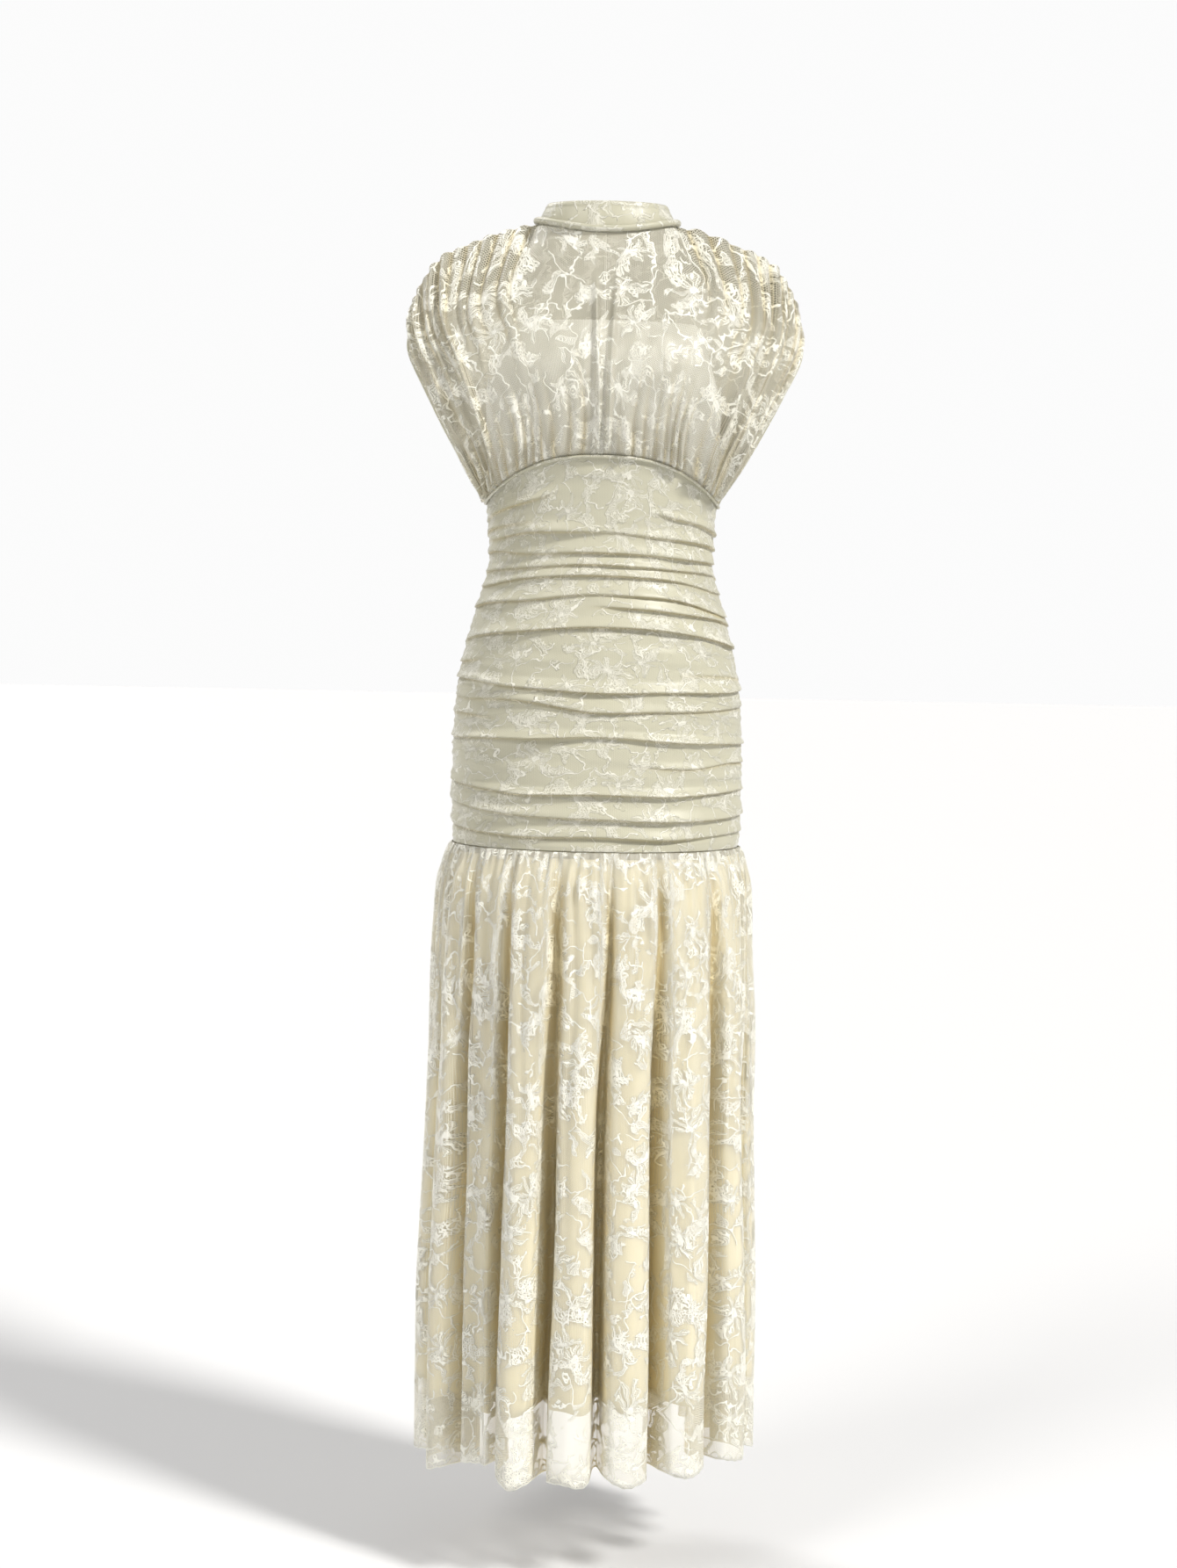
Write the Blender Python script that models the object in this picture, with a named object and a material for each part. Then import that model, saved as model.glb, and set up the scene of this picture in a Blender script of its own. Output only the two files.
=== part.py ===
"""A floor-length fishtail evening dress in ivory lace, standing open and hollow as it is worn.

Metres, +Z up. The front of the dress faces -Y and the wearer's left side is at +X.
The origin is the middle of the shoulder line, where the wearer's shoulders hold the dress up.
Each cloth piece is a wall between an outer grid of points and the same grid moved inwards.
"""

from math import atan2, cos, pi, radians, sin

import bmesh
import bpy
import numpy as np
from mathutils import Vector

# Cloth and seams
LACE = 0.0015            # single lace of the bodice and skirt
LINED = 0.0020           # lace with its lining sewn to it, as on the hip panel
LINING = 0.0010
COLLAR_CLOTH = 0.0018
LINING_EASE = 0.0012     # between the skirt's lace and its lining
SEAM_GAP = 0.0003        # space between two pieces at a seam
HALF_GAP = SEAM_GAP / 2

# Heights
HEM_Z = -1.424
LINING_HEM_Z = -1.325
HIP_SEAM_Z = -0.705      # where the skirt is gathered on to the hip panel
UNDERBUST_FRONT_Z = -0.259
UNDERBUST_BACK_Z = -0.298
UNDERBUST_SIDE_Z = -0.309
ARCH = 2.6               # how late the underbust seam falls towards the sides

# Neck
NECK_HALF_WIDTH = 0.080
NECK_FRONT = 0.066
NECK_BACK = 0.060
NECK_FRONT_Z = -0.006
NECK_SIDE_Z = 0.010
NECK_BACK_Z = 0.013
COLLAR_TOP_HALF_WIDTH = 0.0680
COLLAR_TOP_FRONT = 0.0585
COLLAR_TOP_BACK = 0.0540
COLLAR_TOP_FRONT_Z = 0.030
COLLAR_TOP_BACK_Z = 0.038

# Trims, as radii
NECK_PIPING = 0.0034
UNDERBUST_PIPING = 0.0018
BINDING = 0.0019
PIPING_DROP = 0.0017     # of the underbust piping under its seam

# The armhole ends this far round the underbust seam, so that its binding can pass the side
ARMHOLE_FOOT = radians(84)
BINDING_LIFT = 0.0040    # of the binding over the top edge of the hip panel

# Columns round a piece and rows down it
FOLD_COLUMNS = (0, 0.24, 0.38, 0.50, 0.62, 0.76)     # between one crest of the skirt and the next
BODICE_GATHERS = 20      # across the front; each back half has half as many
COLUMNS_PER_GATHER = 2
BODICE_ROWS = 9
HIP_COLUMNS = 16         # across the front; each back half has half as many
COLLAR_COLUMNS = 32
SKIRT_ROWS = (-0.713, -0.730, -0.765, -0.840, -0.980, -1.150, LINING_HEM_Z)


def table(columns, rows):
    """A table whose columns are read by name."""
    return np.array(rows, dtype=[(name, float) for name in columns.split()])


# Half width and depth of the figure under the hip panel, outside the cloth
HIP = table("z half_width front back", [
    (-0.705, 0.1670, 0.1180, 0.1220),
    (-0.650, 0.1685, 0.1185, 0.1265),
    (-0.595, 0.1680, 0.1180, 0.1280),
    (-0.544, 0.1660, 0.1160, 0.1240),
    (-0.492, 0.1585, 0.1110, 0.1150),
    (-0.441, 0.1460, 0.1040, 0.1030),
    (-0.415, 0.1385, 0.1000, 0.0970),
    (-0.389, 0.1310, 0.0965, 0.0915),
    (-0.364, 0.1285, 0.0950, 0.0880),
    (-0.338, 0.1300, 0.0960, 0.0865),
    (-0.309, 0.1335, 0.0990, 0.0865),
    (-0.250, 0.1385, 0.1095, 0.0890),
])

# Reach of the skirt's ridges
SKIRT = table("z half_width front back", [
    (-1.424, 0.2065, 0.1660, 0.1710),
    (-1.368, 0.2065, 0.1650, 0.1700),
    (-1.265, 0.2060, 0.1620, 0.1680),
    (-1.162, 0.2030, 0.1580, 0.1630),
    (-1.059, 0.1980, 0.1530, 0.1580),
    (-0.956, 0.1936, 0.1480, 0.1520),
    (-0.853, 0.1885, 0.1430, 0.1470),
    (-0.801, 0.1850, 0.1390, 0.1430),
    (-0.750, 0.1790, 0.1330, 0.1370),
    (-0.724, 0.1735, 0.1265, 0.1300),
    (-0.705, 0.1680, 0.1190, 0.1230),
])

# Skirt folds by the angle of each ridge from the centre front, towards +X.
# Reach is 1 for a ridge that stands on the outline and less for one that is tucked behind.
RIDGES = table("angle reach", [
    (-104, 0.95), (-83, 0.95), (-61, 1.00), (-41, 0.45), (-24, 1.00), (-3, 0.95),
    (14, 0.95), (36, 1.00), (63, 1.00), (84, 0.90), (103, 0.95), (123, 1.00),
    (142, 0.90), (160, 1.00), (180, 0.85), (199, 1.00), (219, 0.95), (237, 1.00),
])
FOLD_DEPTH = 0.052       # from ridge to valley at the hem
CROWN = 0.24             # share of the depth that rounds the crest of a fold
VALLEY_WIDTH = 0.13      # against the space between two crests

# Rows of the bodice between the shoulder and the underbust seam, at the armhole edge and the centre
BODICE_FRONT = table("down edge_x edge_y edge_z centre_y centre_z fullness", [
    (0.2, 0.2235, 0.0380, -0.1400, 0.0900, -0.0600, 1.6),
    (0.4, 0.2040, 0.0530, -0.1834, 0.1170, -0.1120, 2.0),
    (0.6, 0.1830, 0.0520, -0.2251, 0.1290, -0.1600, 2.4),
    (0.8, 0.1600, 0.0370, -0.2668, 0.1250, -0.2120, 2.4),
])
BODICE_BACK = table("down edge_x edge_y edge_z centre_y centre_z fullness", [
    (0.2, 0.2235, 0.0360, -0.1400, 0.0830, -0.0500, 1.6),
    (0.4, 0.2040, 0.0500, -0.1834, 0.0980, -0.1150, 2.0),
    (0.6, 0.1830, 0.0480, -0.2251, 0.1020, -0.1750, 2.4),
    (0.8, 0.1600, 0.0340, -0.2668, 0.0980, -0.2370, 2.4),
])
SHOULDER = table("x z", [
    (0.0800, 0.0100), (0.1170, 0.0010), (0.1500, -0.0110), (0.1830, -0.0260),
    (0.2050, -0.0470), (0.2180, -0.0700), (0.2245, -0.1000),
])
BUST_X = 0.078
BUST_Z = -0.168
BUST_REACH = 0.012
BUST_SPREAD = 0.048

# Bust lining, a close bandeau under the lace
BANDEAU = table("z half_width front back", [
    (-0.300, 0.1310, 0.0970, 0.0800),
    (-0.255, 0.1335, 0.1040, 0.0820),
    (-0.200, 0.1370, 0.1150, 0.0870),
    (-0.150, 0.1380, 0.1160, 0.0890),
    (-0.105, 0.1350, 0.1010, 0.0860),
])
BANDEAU_TOP_Z = -0.1085
BANDEAU_SIDE_Z = -0.185
BANDEAU_FLAT = 0.100     # half width of its straight top edge

# Horizontal folds of the ruched hip panel. Heights are at the left seam, the centre and the right seam.
# Start and stop say over which share of the width, left seam -1 and right seam 1, a fold stands out.
FRONT_FOLDS = table("left centre right height start stop", [
    (-0.329, -0.300, -0.318, 0.0030, -1.2, -0.1),
    (-0.337, -0.318, -0.339, 0.0030, 0.3, 1.2),
    (-0.349, -0.346, -0.358, 0.0036, -1.2, 1.2),
    (-0.367, -0.364, -0.374, 0.0032, -1.2, 1.2),
    (-0.385, -0.379, -0.393, 0.0032, -1.2, 1.2),
    (-0.404, -0.393, -0.411, 0.0034, -1.2, 1.2),
    (-0.431, -0.412, -0.434, 0.0040, -1.2, 1.2),
    (-0.447, -0.427, -0.449, 0.0030, -0.1, 1.2),
    (-0.468, -0.448, -0.475, 0.0046, -1.2, 1.2),
    (-0.490, -0.482, -0.498, 0.0030, -1.2, -0.6),
    (-0.510, -0.521, -0.518, 0.0040, -1.2, 1.2),
    (-0.529, -0.540, -0.538, 0.0036, -1.2, 1.2),
    (-0.577, -0.574, -0.582, 0.0046, -1.2, 1.2),
    (-0.600, -0.604, -0.607, 0.0024, 0.1, 1.2),
    (-0.626, -0.639, -0.636, 0.0038, -1.2, 1.2),
    (-0.648, -0.664, -0.659, 0.0040, -1.2, 1.2),
    (-0.676, -0.689, -0.684, 0.0036, -1.2, 1.2),
])
BACK_FOLDS = table("left centre right height start stop", [
    (-0.338, -0.330, -0.334, 0.0032, -1.2, 1.2),
    (-0.366, -0.354, -0.362, 0.0036, -1.2, 1.2),
    (-0.396, -0.388, -0.394, 0.0036, -1.2, 1.2),
    (-0.428, -0.420, -0.432, 0.0038, -1.2, 1.2),
    (-0.466, -0.460, -0.470, 0.0042, -1.2, 1.2),
    (-0.504, -0.500, -0.508, 0.0036, -1.2, 1.2),
    (-0.545, -0.552, -0.550, 0.0042, -1.2, 1.2),
    (-0.590, -0.598, -0.594, 0.0040, -1.2, 1.2),
    (-0.634, -0.644, -0.638, 0.0042, -1.2, 1.2),
    (-0.672, -0.682, -0.676, 0.0036, -1.2, 1.2),
])

# Zip slider and pull tab on the centre back seam, just under the collar
SLIDER_WIDTH = 0.0050
SLIDER_LENGTH = 0.0090
SLIDER_THICKNESS = 0.0020
EAR_THICKNESS = 0.0007
EAR_HEIGHT = 0.0034
BAR_RADIUS = 0.0006
TAB_WIDTH = 0.0030
TAB_TIP_WIDTH = 0.0050
TAB_LENGTH = 0.0220
TAB_THICKNESS = 0.0010
TAB_EYE = 0.0010         # radius of the hole that the bar runs through
TAB_BARREL = 0.0017      # radius of the tab's end round that hole
SLIDER_DOWN = 0.075      # place down the centre back seam, as a share of the bodice

COLOURS = {
    "lace": (0.83, 0.80, 0.66),
    "satin": (0.80, 0.77, 0.62),
    "metal": (0.72, 0.70, 0.64),
}


def clear_scene():
    for obj in list(bpy.data.objects):
        bpy.data.objects.remove(obj)


def smooth(at, xs, ys):
    """The cubic curve through the points (xs, ys), with xs rising; ys may hold whole rows of points."""
    xs, ys, at = np.asarray(xs, float), np.asarray(ys, float), np.asarray(at, float)
    slope = np.gradient(ys, xs, axis=0)
    i = np.clip(np.searchsorted(xs, at) - 1, 0, len(xs) - 2)
    step = xs[i + 1] - xs[i]
    t = np.clip((at - xs[i]) / step, 0, 1)
    shape = t.shape + (1,) * (ys.ndim - 1)
    t, step = t.reshape(shape), step.reshape(shape)
    return (
        (1 + 2 * t) * (1 - t) ** 2 * ys[i]
        + t * (1 - t) ** 2 * step * slope[i]
        + t * t * (3 - 2 * t) * ys[i + 1]
        + t * t * (t - 1) * step * slope[i + 1]
    )


def ease(t):
    """0 below 0, 1 above 1 and a smooth rise between."""
    t = np.clip(t, 0, 1)
    return t * t * (3 - 2 * t)


def read(sections, name, z):
    return smooth(z, sections["z"], sections[name])


def ring(sections, angle, z):
    """Points of an oval ring at the height z, by the angle from the centre front towards +X."""
    depth = np.where(np.cos(angle) >= 0, read(sections, "front", z), read(sections, "back", z))
    x = read(sections, "half_width", z) * np.sin(angle)
    return np.stack([x, -depth * np.cos(angle), z + 0 * x], axis=-1)


def outwards(grid):
    """Outward normals of a grid whose rows run down and whose columns run towards a rising angle."""
    normal = np.cross(np.gradient(grid, axis=0), np.gradient(grid, axis=1))
    return normal / np.linalg.norm(normal, axis=-1, keepdims=True)


def within(normals, across):
    """The normals, turned into the plane of a seam whose pieces lie apart along the axis across."""
    across = np.asarray(across, float)
    flat = normals - (normals @ across)[..., None] * across
    return flat / np.linalg.norm(flat, axis=-1, keepdims=True)


def moved_in(grid, distance, top=None, bottom=None, left=None, right=None):
    """The grid moved inwards. Each named edge keeps to its seam's plane, given by the axis across the seam."""
    normals = outwards(grid)
    for place, across in (
        ((0, slice(None)), top),
        ((-1, slice(None)), bottom),
        ((slice(None), 0), left),
        ((slice(None), -1), right),
    ):
        if across is not None:
            normals[place] = within(normals[place], across)
    return grid - distance * normals


def cloth_material(name, colour, roughness=0.6, metallic=0.0):
    material = bpy.data.materials.new(name)
    material.use_nodes = True
    shader = material.node_tree.nodes["Principled BSDF"]
    shader.inputs["Base Color"].default_value = (*colour, 1)
    shader.inputs["Roughness"].default_value = roughness
    shader.inputs["Metallic"].default_value = metallic
    return material


def place(obj, material, parent):
    obj.data.materials.append(material)
    parent.users_collection[0].objects.link(obj)
    obj.parent = parent
    return obj


def wall(name, outer, inner, material, parent):
    """A cloth wall between two grids of the same size, closed along its four edges."""
    rows, columns = outer.shape[:2]
    mesh = bpy.data.meshes.new(name)
    shell = bmesh.new()
    sides = [
        [[shell.verts.new(point) for point in row] for row in grid]
        for grid in (outer, inner)
    ]
    for side in sides:
        for r in range(rows - 1):
            for c in range(columns - 1):
                shell.faces.new((side[r][c], side[r + 1][c], side[r + 1][c + 1], side[r][c + 1]))
    rim = [(0, c) for c in range(columns)]
    rim += [(r, columns - 1) for r in range(1, rows)]
    rim += [(rows - 1, c) for c in range(columns - 2, -1, -1)]
    rim += [(r, 0) for r in range(rows - 2, 0, -1)]
    for here, after in zip(rim, rim[1:] + rim[:1]):
        corners = [sides[s][r][c] for s, (r, c) in ((0, here), (0, after), (1, after), (1, here))]
        shell.faces.new(corners)
    bmesh.ops.recalc_face_normals(shell, faces=shell.faces[:])
    shell.to_mesh(mesh)
    shell.free()
    mesh.shade_smooth()
    mesh.set_sharp_from_angle(angle=radians(50))
    return place(bpy.data.objects.new(name, mesh), material, parent)


def cord(name, path, radius, material, parent, closed=False):
    """A round trim along a path of points, with flat ends unless it is closed."""
    curve = bpy.data.curves.new(name, "CURVE")
    curve.dimensions = "3D"
    curve.bevel_depth = radius
    curve.bevel_resolution = 1
    curve.use_fill_caps = not closed
    spline = curve.splines.new("POLY")
    spline.points.add(len(path) - 1)
    for point, at in zip(spline.points, path):
        point.co = (*at, 1)
    spline.use_cyclic_u = closed
    return place(bpy.data.objects.new(name, curve), material, parent)


def underbust_z(angle):
    """Height of the underbust seam round the figure."""
    centre = np.where(np.cos(angle) >= 0, UNDERBUST_FRONT_Z, UNDERBUST_BACK_Z)
    return centre + (UNDERBUST_SIDE_Z - centre) * np.abs(np.sin(angle)) ** ARCH


def underbust_seam(angle):
    """The seam as the hip panel's columns draw it, straight from one column to the next."""
    step = pi / HIP_COLUMNS
    before = np.floor(angle / step + 1e-6) * step
    share = ((angle - before) / step)[:, None]
    here, after = (ring(HIP, at, underbust_z(at)) for at in (before, before + step))
    return here + (after - here) * share


def neck_seam(angle):
    """The seam between the collar and the bodice."""
    forward = np.cos(angle) >= 0
    depth = np.where(forward, NECK_FRONT, NECK_BACK)
    centre_z = np.where(forward, NECK_FRONT_Z, NECK_BACK_Z)
    z = NECK_SIDE_Z + (centre_z - NECK_SIDE_Z) * np.cos(angle) ** 2
    return np.stack([NECK_HALF_WIDTH * np.sin(angle), -depth * np.cos(angle), z], axis=-1)


def shoulder_seam(share):
    """The shoulder seam from the neck, at 0, to the top of the armhole, at 1."""
    line = np.stack([SHOULDER["x"], 0 * SHOULDER["x"], SHOULDER["z"]], axis=-1)
    along = np.concatenate([[0], np.cumsum(np.linalg.norm(np.diff(line, axis=0), axis=1))])
    return smooth(share * along[-1], along, line)


NECK_SHARE = 0.375       # share of the bodice's top edge, from centre to armhole, that is neckline


def bodice_top(across, facing):
    """The top edge of a bodice piece: the neckline, then the shoulder seam. Facing is 1 in front, -1 behind."""
    share = np.abs(across)
    neck = neck_seam(pi / 2 * np.clip(share / NECK_SHARE, 0, 1))
    neck[:, 1] = -facing * np.abs(neck[:, 1])
    if facing < 0:
        behind = neck_seam(pi - pi / 2 * np.clip(share / NECK_SHARE, 0, 1))
        neck = behind
    shoulder = shoulder_seam(np.clip((share - NECK_SHARE) / (1 - NECK_SHARE), 0, 1))
    edge = np.where((share <= NECK_SHARE)[:, None], neck, shoulder)
    edge[:, 0] *= np.sign(across)
    return edge


def bodice_row(row, across, facing):
    share = np.abs(across)
    s = 0.5 * share + 0.5 * np.sin(pi / 2 * share)
    full = np.clip(1 - s ** row["fullness"], 0, 1) ** (1 / row["fullness"])
    depth = row["edge_y"] + (row["centre_y"] - row["edge_y"]) * full
    z = row["centre_z"] + (row["edge_z"] - row["centre_z"]) * s ** ARCH
    return np.stack([np.sign(across) * row["edge_x"] * s, -facing * depth, z], axis=-1)


def bodice_foot(across, facing):
    angle = ARMHOLE_FOOT * across
    return underbust_seam(angle if facing > 0 else pi - angle)


def bodice_surface(across, down, facing):
    """The bodice without its gathers, as rows of points down and columns across."""
    sections = BODICE_FRONT if facing > 0 else BODICE_BACK
    stations = [bodice_top(across, facing)]
    stations += [bodice_row(row, across, facing) for row in sections]
    stations.append(bodice_foot(across, facing))
    grid = smooth(down, [0, *sections["down"], 1], np.array(stations))
    if facing > 0:
        swell = np.exp(-(((np.abs(grid[..., 0]) - BUST_X) / BUST_SPREAD) ** 2))
        swell *= np.exp(-(((grid[..., 2] - BUST_Z) / BUST_SPREAD) ** 2))
        grid[..., 1] -= BUST_REACH * swell * np.sin(pi * down)[:, None]
    return grid


def bodice_gathers(across, down):
    """How far the gathers stand out, from the shoulder downwards and from the underbust seam upwards."""
    wave = (1 + np.cos(pi * BODICE_GATHERS * across)[None, :]) / 2
    share = np.abs(across)[None, :]
    down = down[:, None]
    seam = ease(down / 0.1) * ease((1 - down) / 0.1) * ease((1 - share) / 0.08)
    from_shoulder = 0.0046 * (1 - ease(down / 0.75)) * ease((share - 0.25) / 0.2)
    from_underbust = 0.0042 * ease((down - 0.45) / 0.4) * ease((share - 0.02) / 0.08)
    return wave * seam * (from_shoulder + from_underbust)


def bodice_piece(name, across, facing, material, parent):
    down = np.linspace(0, 1, BODICE_ROWS)
    grid = bodice_surface(across, down, facing)
    grid += bodice_gathers(across, down)[..., None] * turned_out(grid, facing)
    grid[0, :, 1] -= facing * HALF_GAP * (np.abs(across) > NECK_SHARE)
    grid[0, :, 2] -= HALF_GAP * (np.abs(across) <= NECK_SHARE)
    grid[-1, :, 2] += HALF_GAP
    if facing < 0:
        centre = 0 if across[0] == 0 else -1
        grid[:, centre, 0] += HALF_GAP * (1 if across.sum() > 0 else -1)
    normals = turned_out(grid, facing)
    neckline = np.abs(across) <= NECK_SHARE + 1e-6
    normals[0, neckline] = within(normals[0, neckline], (0, 0, 1))
    normals[0, ~neckline] = within(normals[0, ~neckline], (0, 1, 0))
    normals[-1] = within(normals[-1], (0, 0, 1))
    if facing < 0:
        normals[:, centre] = within(normals[:, centre], (1, 0, 0))
    return wall(name, grid, grid - LACE * normals, material, parent)


def turned_out(grid, facing):
    """Outward normals of a bodice grid, whose columns run towards +X in front and behind."""
    return facing * outwards(grid)


def armhole_route(side, facing):
    """The binding's path along one bodice piece, from the shoulder down to the underarm."""
    down = np.linspace(0, 1, BODICE_ROWS)
    across = side * (1 - np.array([1, 0]) / (BODICE_GATHERS * COLUMNS_PER_GATHER / 2))
    grid = bodice_surface(across, down, facing)
    if side < 0:
        grid = grid[:, ::-1]
    normals = turned_out(grid, facing)
    edge = -1 if side > 0 else 0
    away = side * (grid[:, 1] - grid[:, 0])
    away /= np.linalg.norm(away, axis=1, keepdims=True)
    away[0] = within(away[:1], (0, 1, 0))[0]
    line = grid[:, edge] - LACE / 2 * normals[:, edge]
    line[-1] += (line[-2] - line[-1]) * BINDING_LIFT / (line[-2][2] - line[-1][2])
    return line + (BINDING + 2 * SEAM_GAP) * away


def armhole_binding(name, side, material, parent):
    """A narrow binding round the armhole, clear of the cut edge by the seam gap."""
    front = armhole_route(side, 1)
    back = armhole_route(side, -1)
    return cord(name, [*front, *back[:0:-1]], BINDING, material, parent, closed=True)


def hip_folds(folds, share, top):
    """Rows on the seams, on each fold and in the hollows between folds, with how far each row stands out."""
    crests, lifts = [], []
    above = top
    for fold in folds:
        line = smooth(np.clip(share, -1, 1), [-1, 0, 1], [fold["left"], fold["centre"], fold["right"]])
        above = np.minimum(line, above - 0.010)
        crests.append(above)
        lifts.append(fold["height"] * ease((share - fold["start"]) / 0.2) * ease((fold["stop"] - share) / 0.2))
    lines = [top, *crests, np.full(top.shape, HIP_SEAM_Z)]
    z, lift = [top], [0 * top]
    for k, (here, after) in enumerate(zip(lines, lines[1:])):
        z += [(here + after) / 2, after]
        lift += [0 * top, lifts[k] if k < len(lifts) else 0 * top]
    return np.array(z), np.array(lift)


def hip_piece(name, angles, folds, material, parent, opening=0):
    """A ruched piece of the hip panel between two angles. Opening is the side of the centre back seam."""
    forward = np.cos(angles.mean()) > 0
    share = angles / (pi / 2) if forward else (pi - angles) / (pi / 2)
    z, lift = hip_folds(folds, share, underbust_z(angles))
    base = ring(HIP, np.broadcast_to(angles, z.shape), z)
    outer = base + lift[..., None] * within(outwards(base), (0, 0, 1))
    edges = {"left": (0, 1, 0), "right": (0, 1, 0)}
    if not forward:
        edges["right" if opening > 0 else "left"] = (1, 0, 0)
    inner = moved_in(base, LINED, top=(0, 0, 1), bottom=(0, 0, 1), **edges)
    for grid in (outer, inner):
        grid[0, :, 2] = base[0, :, 2] - HALF_GAP
        grid[-1, :, 2] = base[-1, :, 2] + HALF_GAP
        if forward:
            grid[:, 0, 1] = grid[:, -1, 1] = -HALF_GAP
        else:
            side, centre = (0, -1) if opening > 0 else (-1, 0)
            grid[:, side, 1] = HALF_GAP
            grid[:, centre, 0] = opening * HALF_GAP
    return wall(name, outer, inner, material, parent)


def skirt_angles(forward):
    """Angles of the skirt's columns, closer together in the valleys, from side seam to side seam."""
    ridges = RIDGES["angle"]
    around = np.concatenate([ridges, ridges[:1] + 360])
    index = np.arange(len(around))
    steps = (np.arange(len(ridges))[:, None] + FOLD_COLUMNS).ravel()
    angles = np.interp([*steps, len(ridges)], index, around)
    low, high = (-90, 90) if forward else (90, 270)
    turned = np.concatenate([angles - 360, angles[1:], angles[1:] + 360])
    inside = turned[(turned > low + 1.2) & (turned < high - 1.2)]
    return np.radians(np.concatenate([[low], inside, [high]]))


def ridge_phase(angle):
    """Place among the ridges: a whole number on a ridge and a half in a valley, with each ridge's reach."""
    degrees = np.degrees(angle)
    ridges, reach = RIDGES["angle"], RIDGES["reach"]
    around = np.concatenate([ridges[-2:] - 360, ridges, ridges[:2] + 360])
    reaches = np.concatenate([reach[-2:], reach, reach[:2]])
    index = np.arange(len(around)) - 2
    degrees = np.where(degrees > around[-1], degrees - 360, degrees)
    phase = np.interp(degrees, around, index)
    nearest = np.clip(np.round(phase).astype(int) + 2, 0, len(around) - 1)
    return phase, reaches[nearest]


def skirt_grid(angles, z):
    """The gathered skirt, whose folds deepen from the hip seam to the hem."""
    z = z[:, None]
    grid = ring(SKIRT, np.broadcast_to(angles, (len(z), len(angles))), z)
    phase, reach = ridge_phase(angles)
    drop = (HIP_SEAM_Z - z) / (HIP_SEAM_Z - HEM_Z)
    from_valley = phase - np.floor(phase) - 0.5
    valley = CROWN * np.sin(pi * phase) ** 2 + (1 - CROWN) * np.exp(-((from_valley / VALLEY_WIDTH) ** 2))
    tucked = (1 - reach) * np.cos(pi * phase) ** 2
    folds = FOLD_DEPTH * ease(drop * 1.15 + 0.04) ** 0.75 * (valley + tucked)
    inset = folds * ease(drop / 0.02)
    inwards = -within(outwards(grid), (0, 0, 1))
    return grid + inset[..., None] * inwards


def side_edges(grid, forward):
    """Keeps a front or back piece on its own side of the side seams."""
    grid[:, 0, 1] = grid[:, -1, 1] = -HALF_GAP if forward else HALF_GAP
    return grid


def skirt_piece(name, forward, material, parent):
    outer = skirt_grid(skirt_angles(forward), np.array([HIP_SEAM_Z, *SKIRT_ROWS, HEM_Z]))
    outer[0, :, 2] -= HALF_GAP
    outer = side_edges(outer, forward)
    inner = moved_in(outer, LACE, top=(0, 0, 1), bottom=(0, 0, 1), left=(0, 1, 0), right=(0, 1, 0))
    return wall(name, outer, inner, material, parent)


def skirt_lining_piece(name, forward, material, parent):
    """The plain lining, which follows the lace inside and ends above its hem."""
    lace = side_edges(skirt_grid(skirt_angles(forward), np.array(SKIRT_ROWS)), forward)
    edges = {"top": (0, 0, 1), "bottom": (0, 0, 1), "left": (0, 1, 0), "right": (0, 1, 0)}
    outer = side_edges(moved_in(lace, LACE + LINING_EASE, **edges), forward)
    inner = side_edges(moved_in(lace, LACE + LINING_EASE + LINING, **edges), forward)
    return wall(name, outer, inner, material, parent)


def bandeau_piece(name, angles, material, parent, opening=0):
    """The bust lining, sewn in at the underbust seam: a straight top edge in front that falls to the underarms."""
    top_width = np.abs(ring(BANDEAU, angles, np.full(angles.shape, BANDEAU_TOP_Z))[:, 0])
    fall = np.where(np.cos(angles) > 0, ease((top_width - BANDEAU_FLAT) / 0.033), 1)
    top = BANDEAU_TOP_Z + (BANDEAU_SIDE_Z - BANDEAU_TOP_Z) * fall
    down = np.array([0, 0.25, 0.5, 0.75, 0.92, 1])[:, None]
    z = top + down * (underbust_z(angles) + HALF_GAP - top)
    outer = ring(BANDEAU, np.broadcast_to(angles, z.shape), z)
    seam = underbust_seam(angles)
    outer[-1] = seam - (LACE + SEAM_GAP) * within(outwards(np.array([outer[0], seam]))[1], (0, 0, 1))
    outer[-1, :, 2] = seam[:, 2] + HALF_GAP
    forward = opening == 0
    edges = {"left": (0, 1, 0), "right": (0, 1, 0)}
    if not forward:
        edges["right" if opening > 0 else "left"] = (1, 0, 0)
    inner = moved_in(outer, LINING, top=(0, 0, 1), bottom=(0, 0, 1), **edges)
    for grid in (outer, inner):
        if forward:
            side_edges(grid, True)
        else:
            side, centre = (0, -1) if opening > 0 else (-1, 0)
            grid[:, side, 1] = HALF_GAP
            grid[:, centre, 0] = opening * HALF_GAP
    return wall(name, outer, inner, material, parent)


def round_from_back():
    """Angles from just past the centre back, round the front, to the centre back again."""
    return np.linspace(-pi, pi, COLLAR_COLUMNS + 1)


def collar_top(angle):
    depth = np.where(np.cos(angle) >= 0, COLLAR_TOP_FRONT, COLLAR_TOP_BACK)
    middle = (COLLAR_TOP_FRONT_Z + COLLAR_TOP_BACK_Z) / 2
    z = middle + (COLLAR_TOP_FRONT_Z - middle) * np.cos(angle)
    return np.stack([COLLAR_TOP_HALF_WIDTH * np.sin(angle), -depth * np.cos(angle), z], axis=-1)


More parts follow.
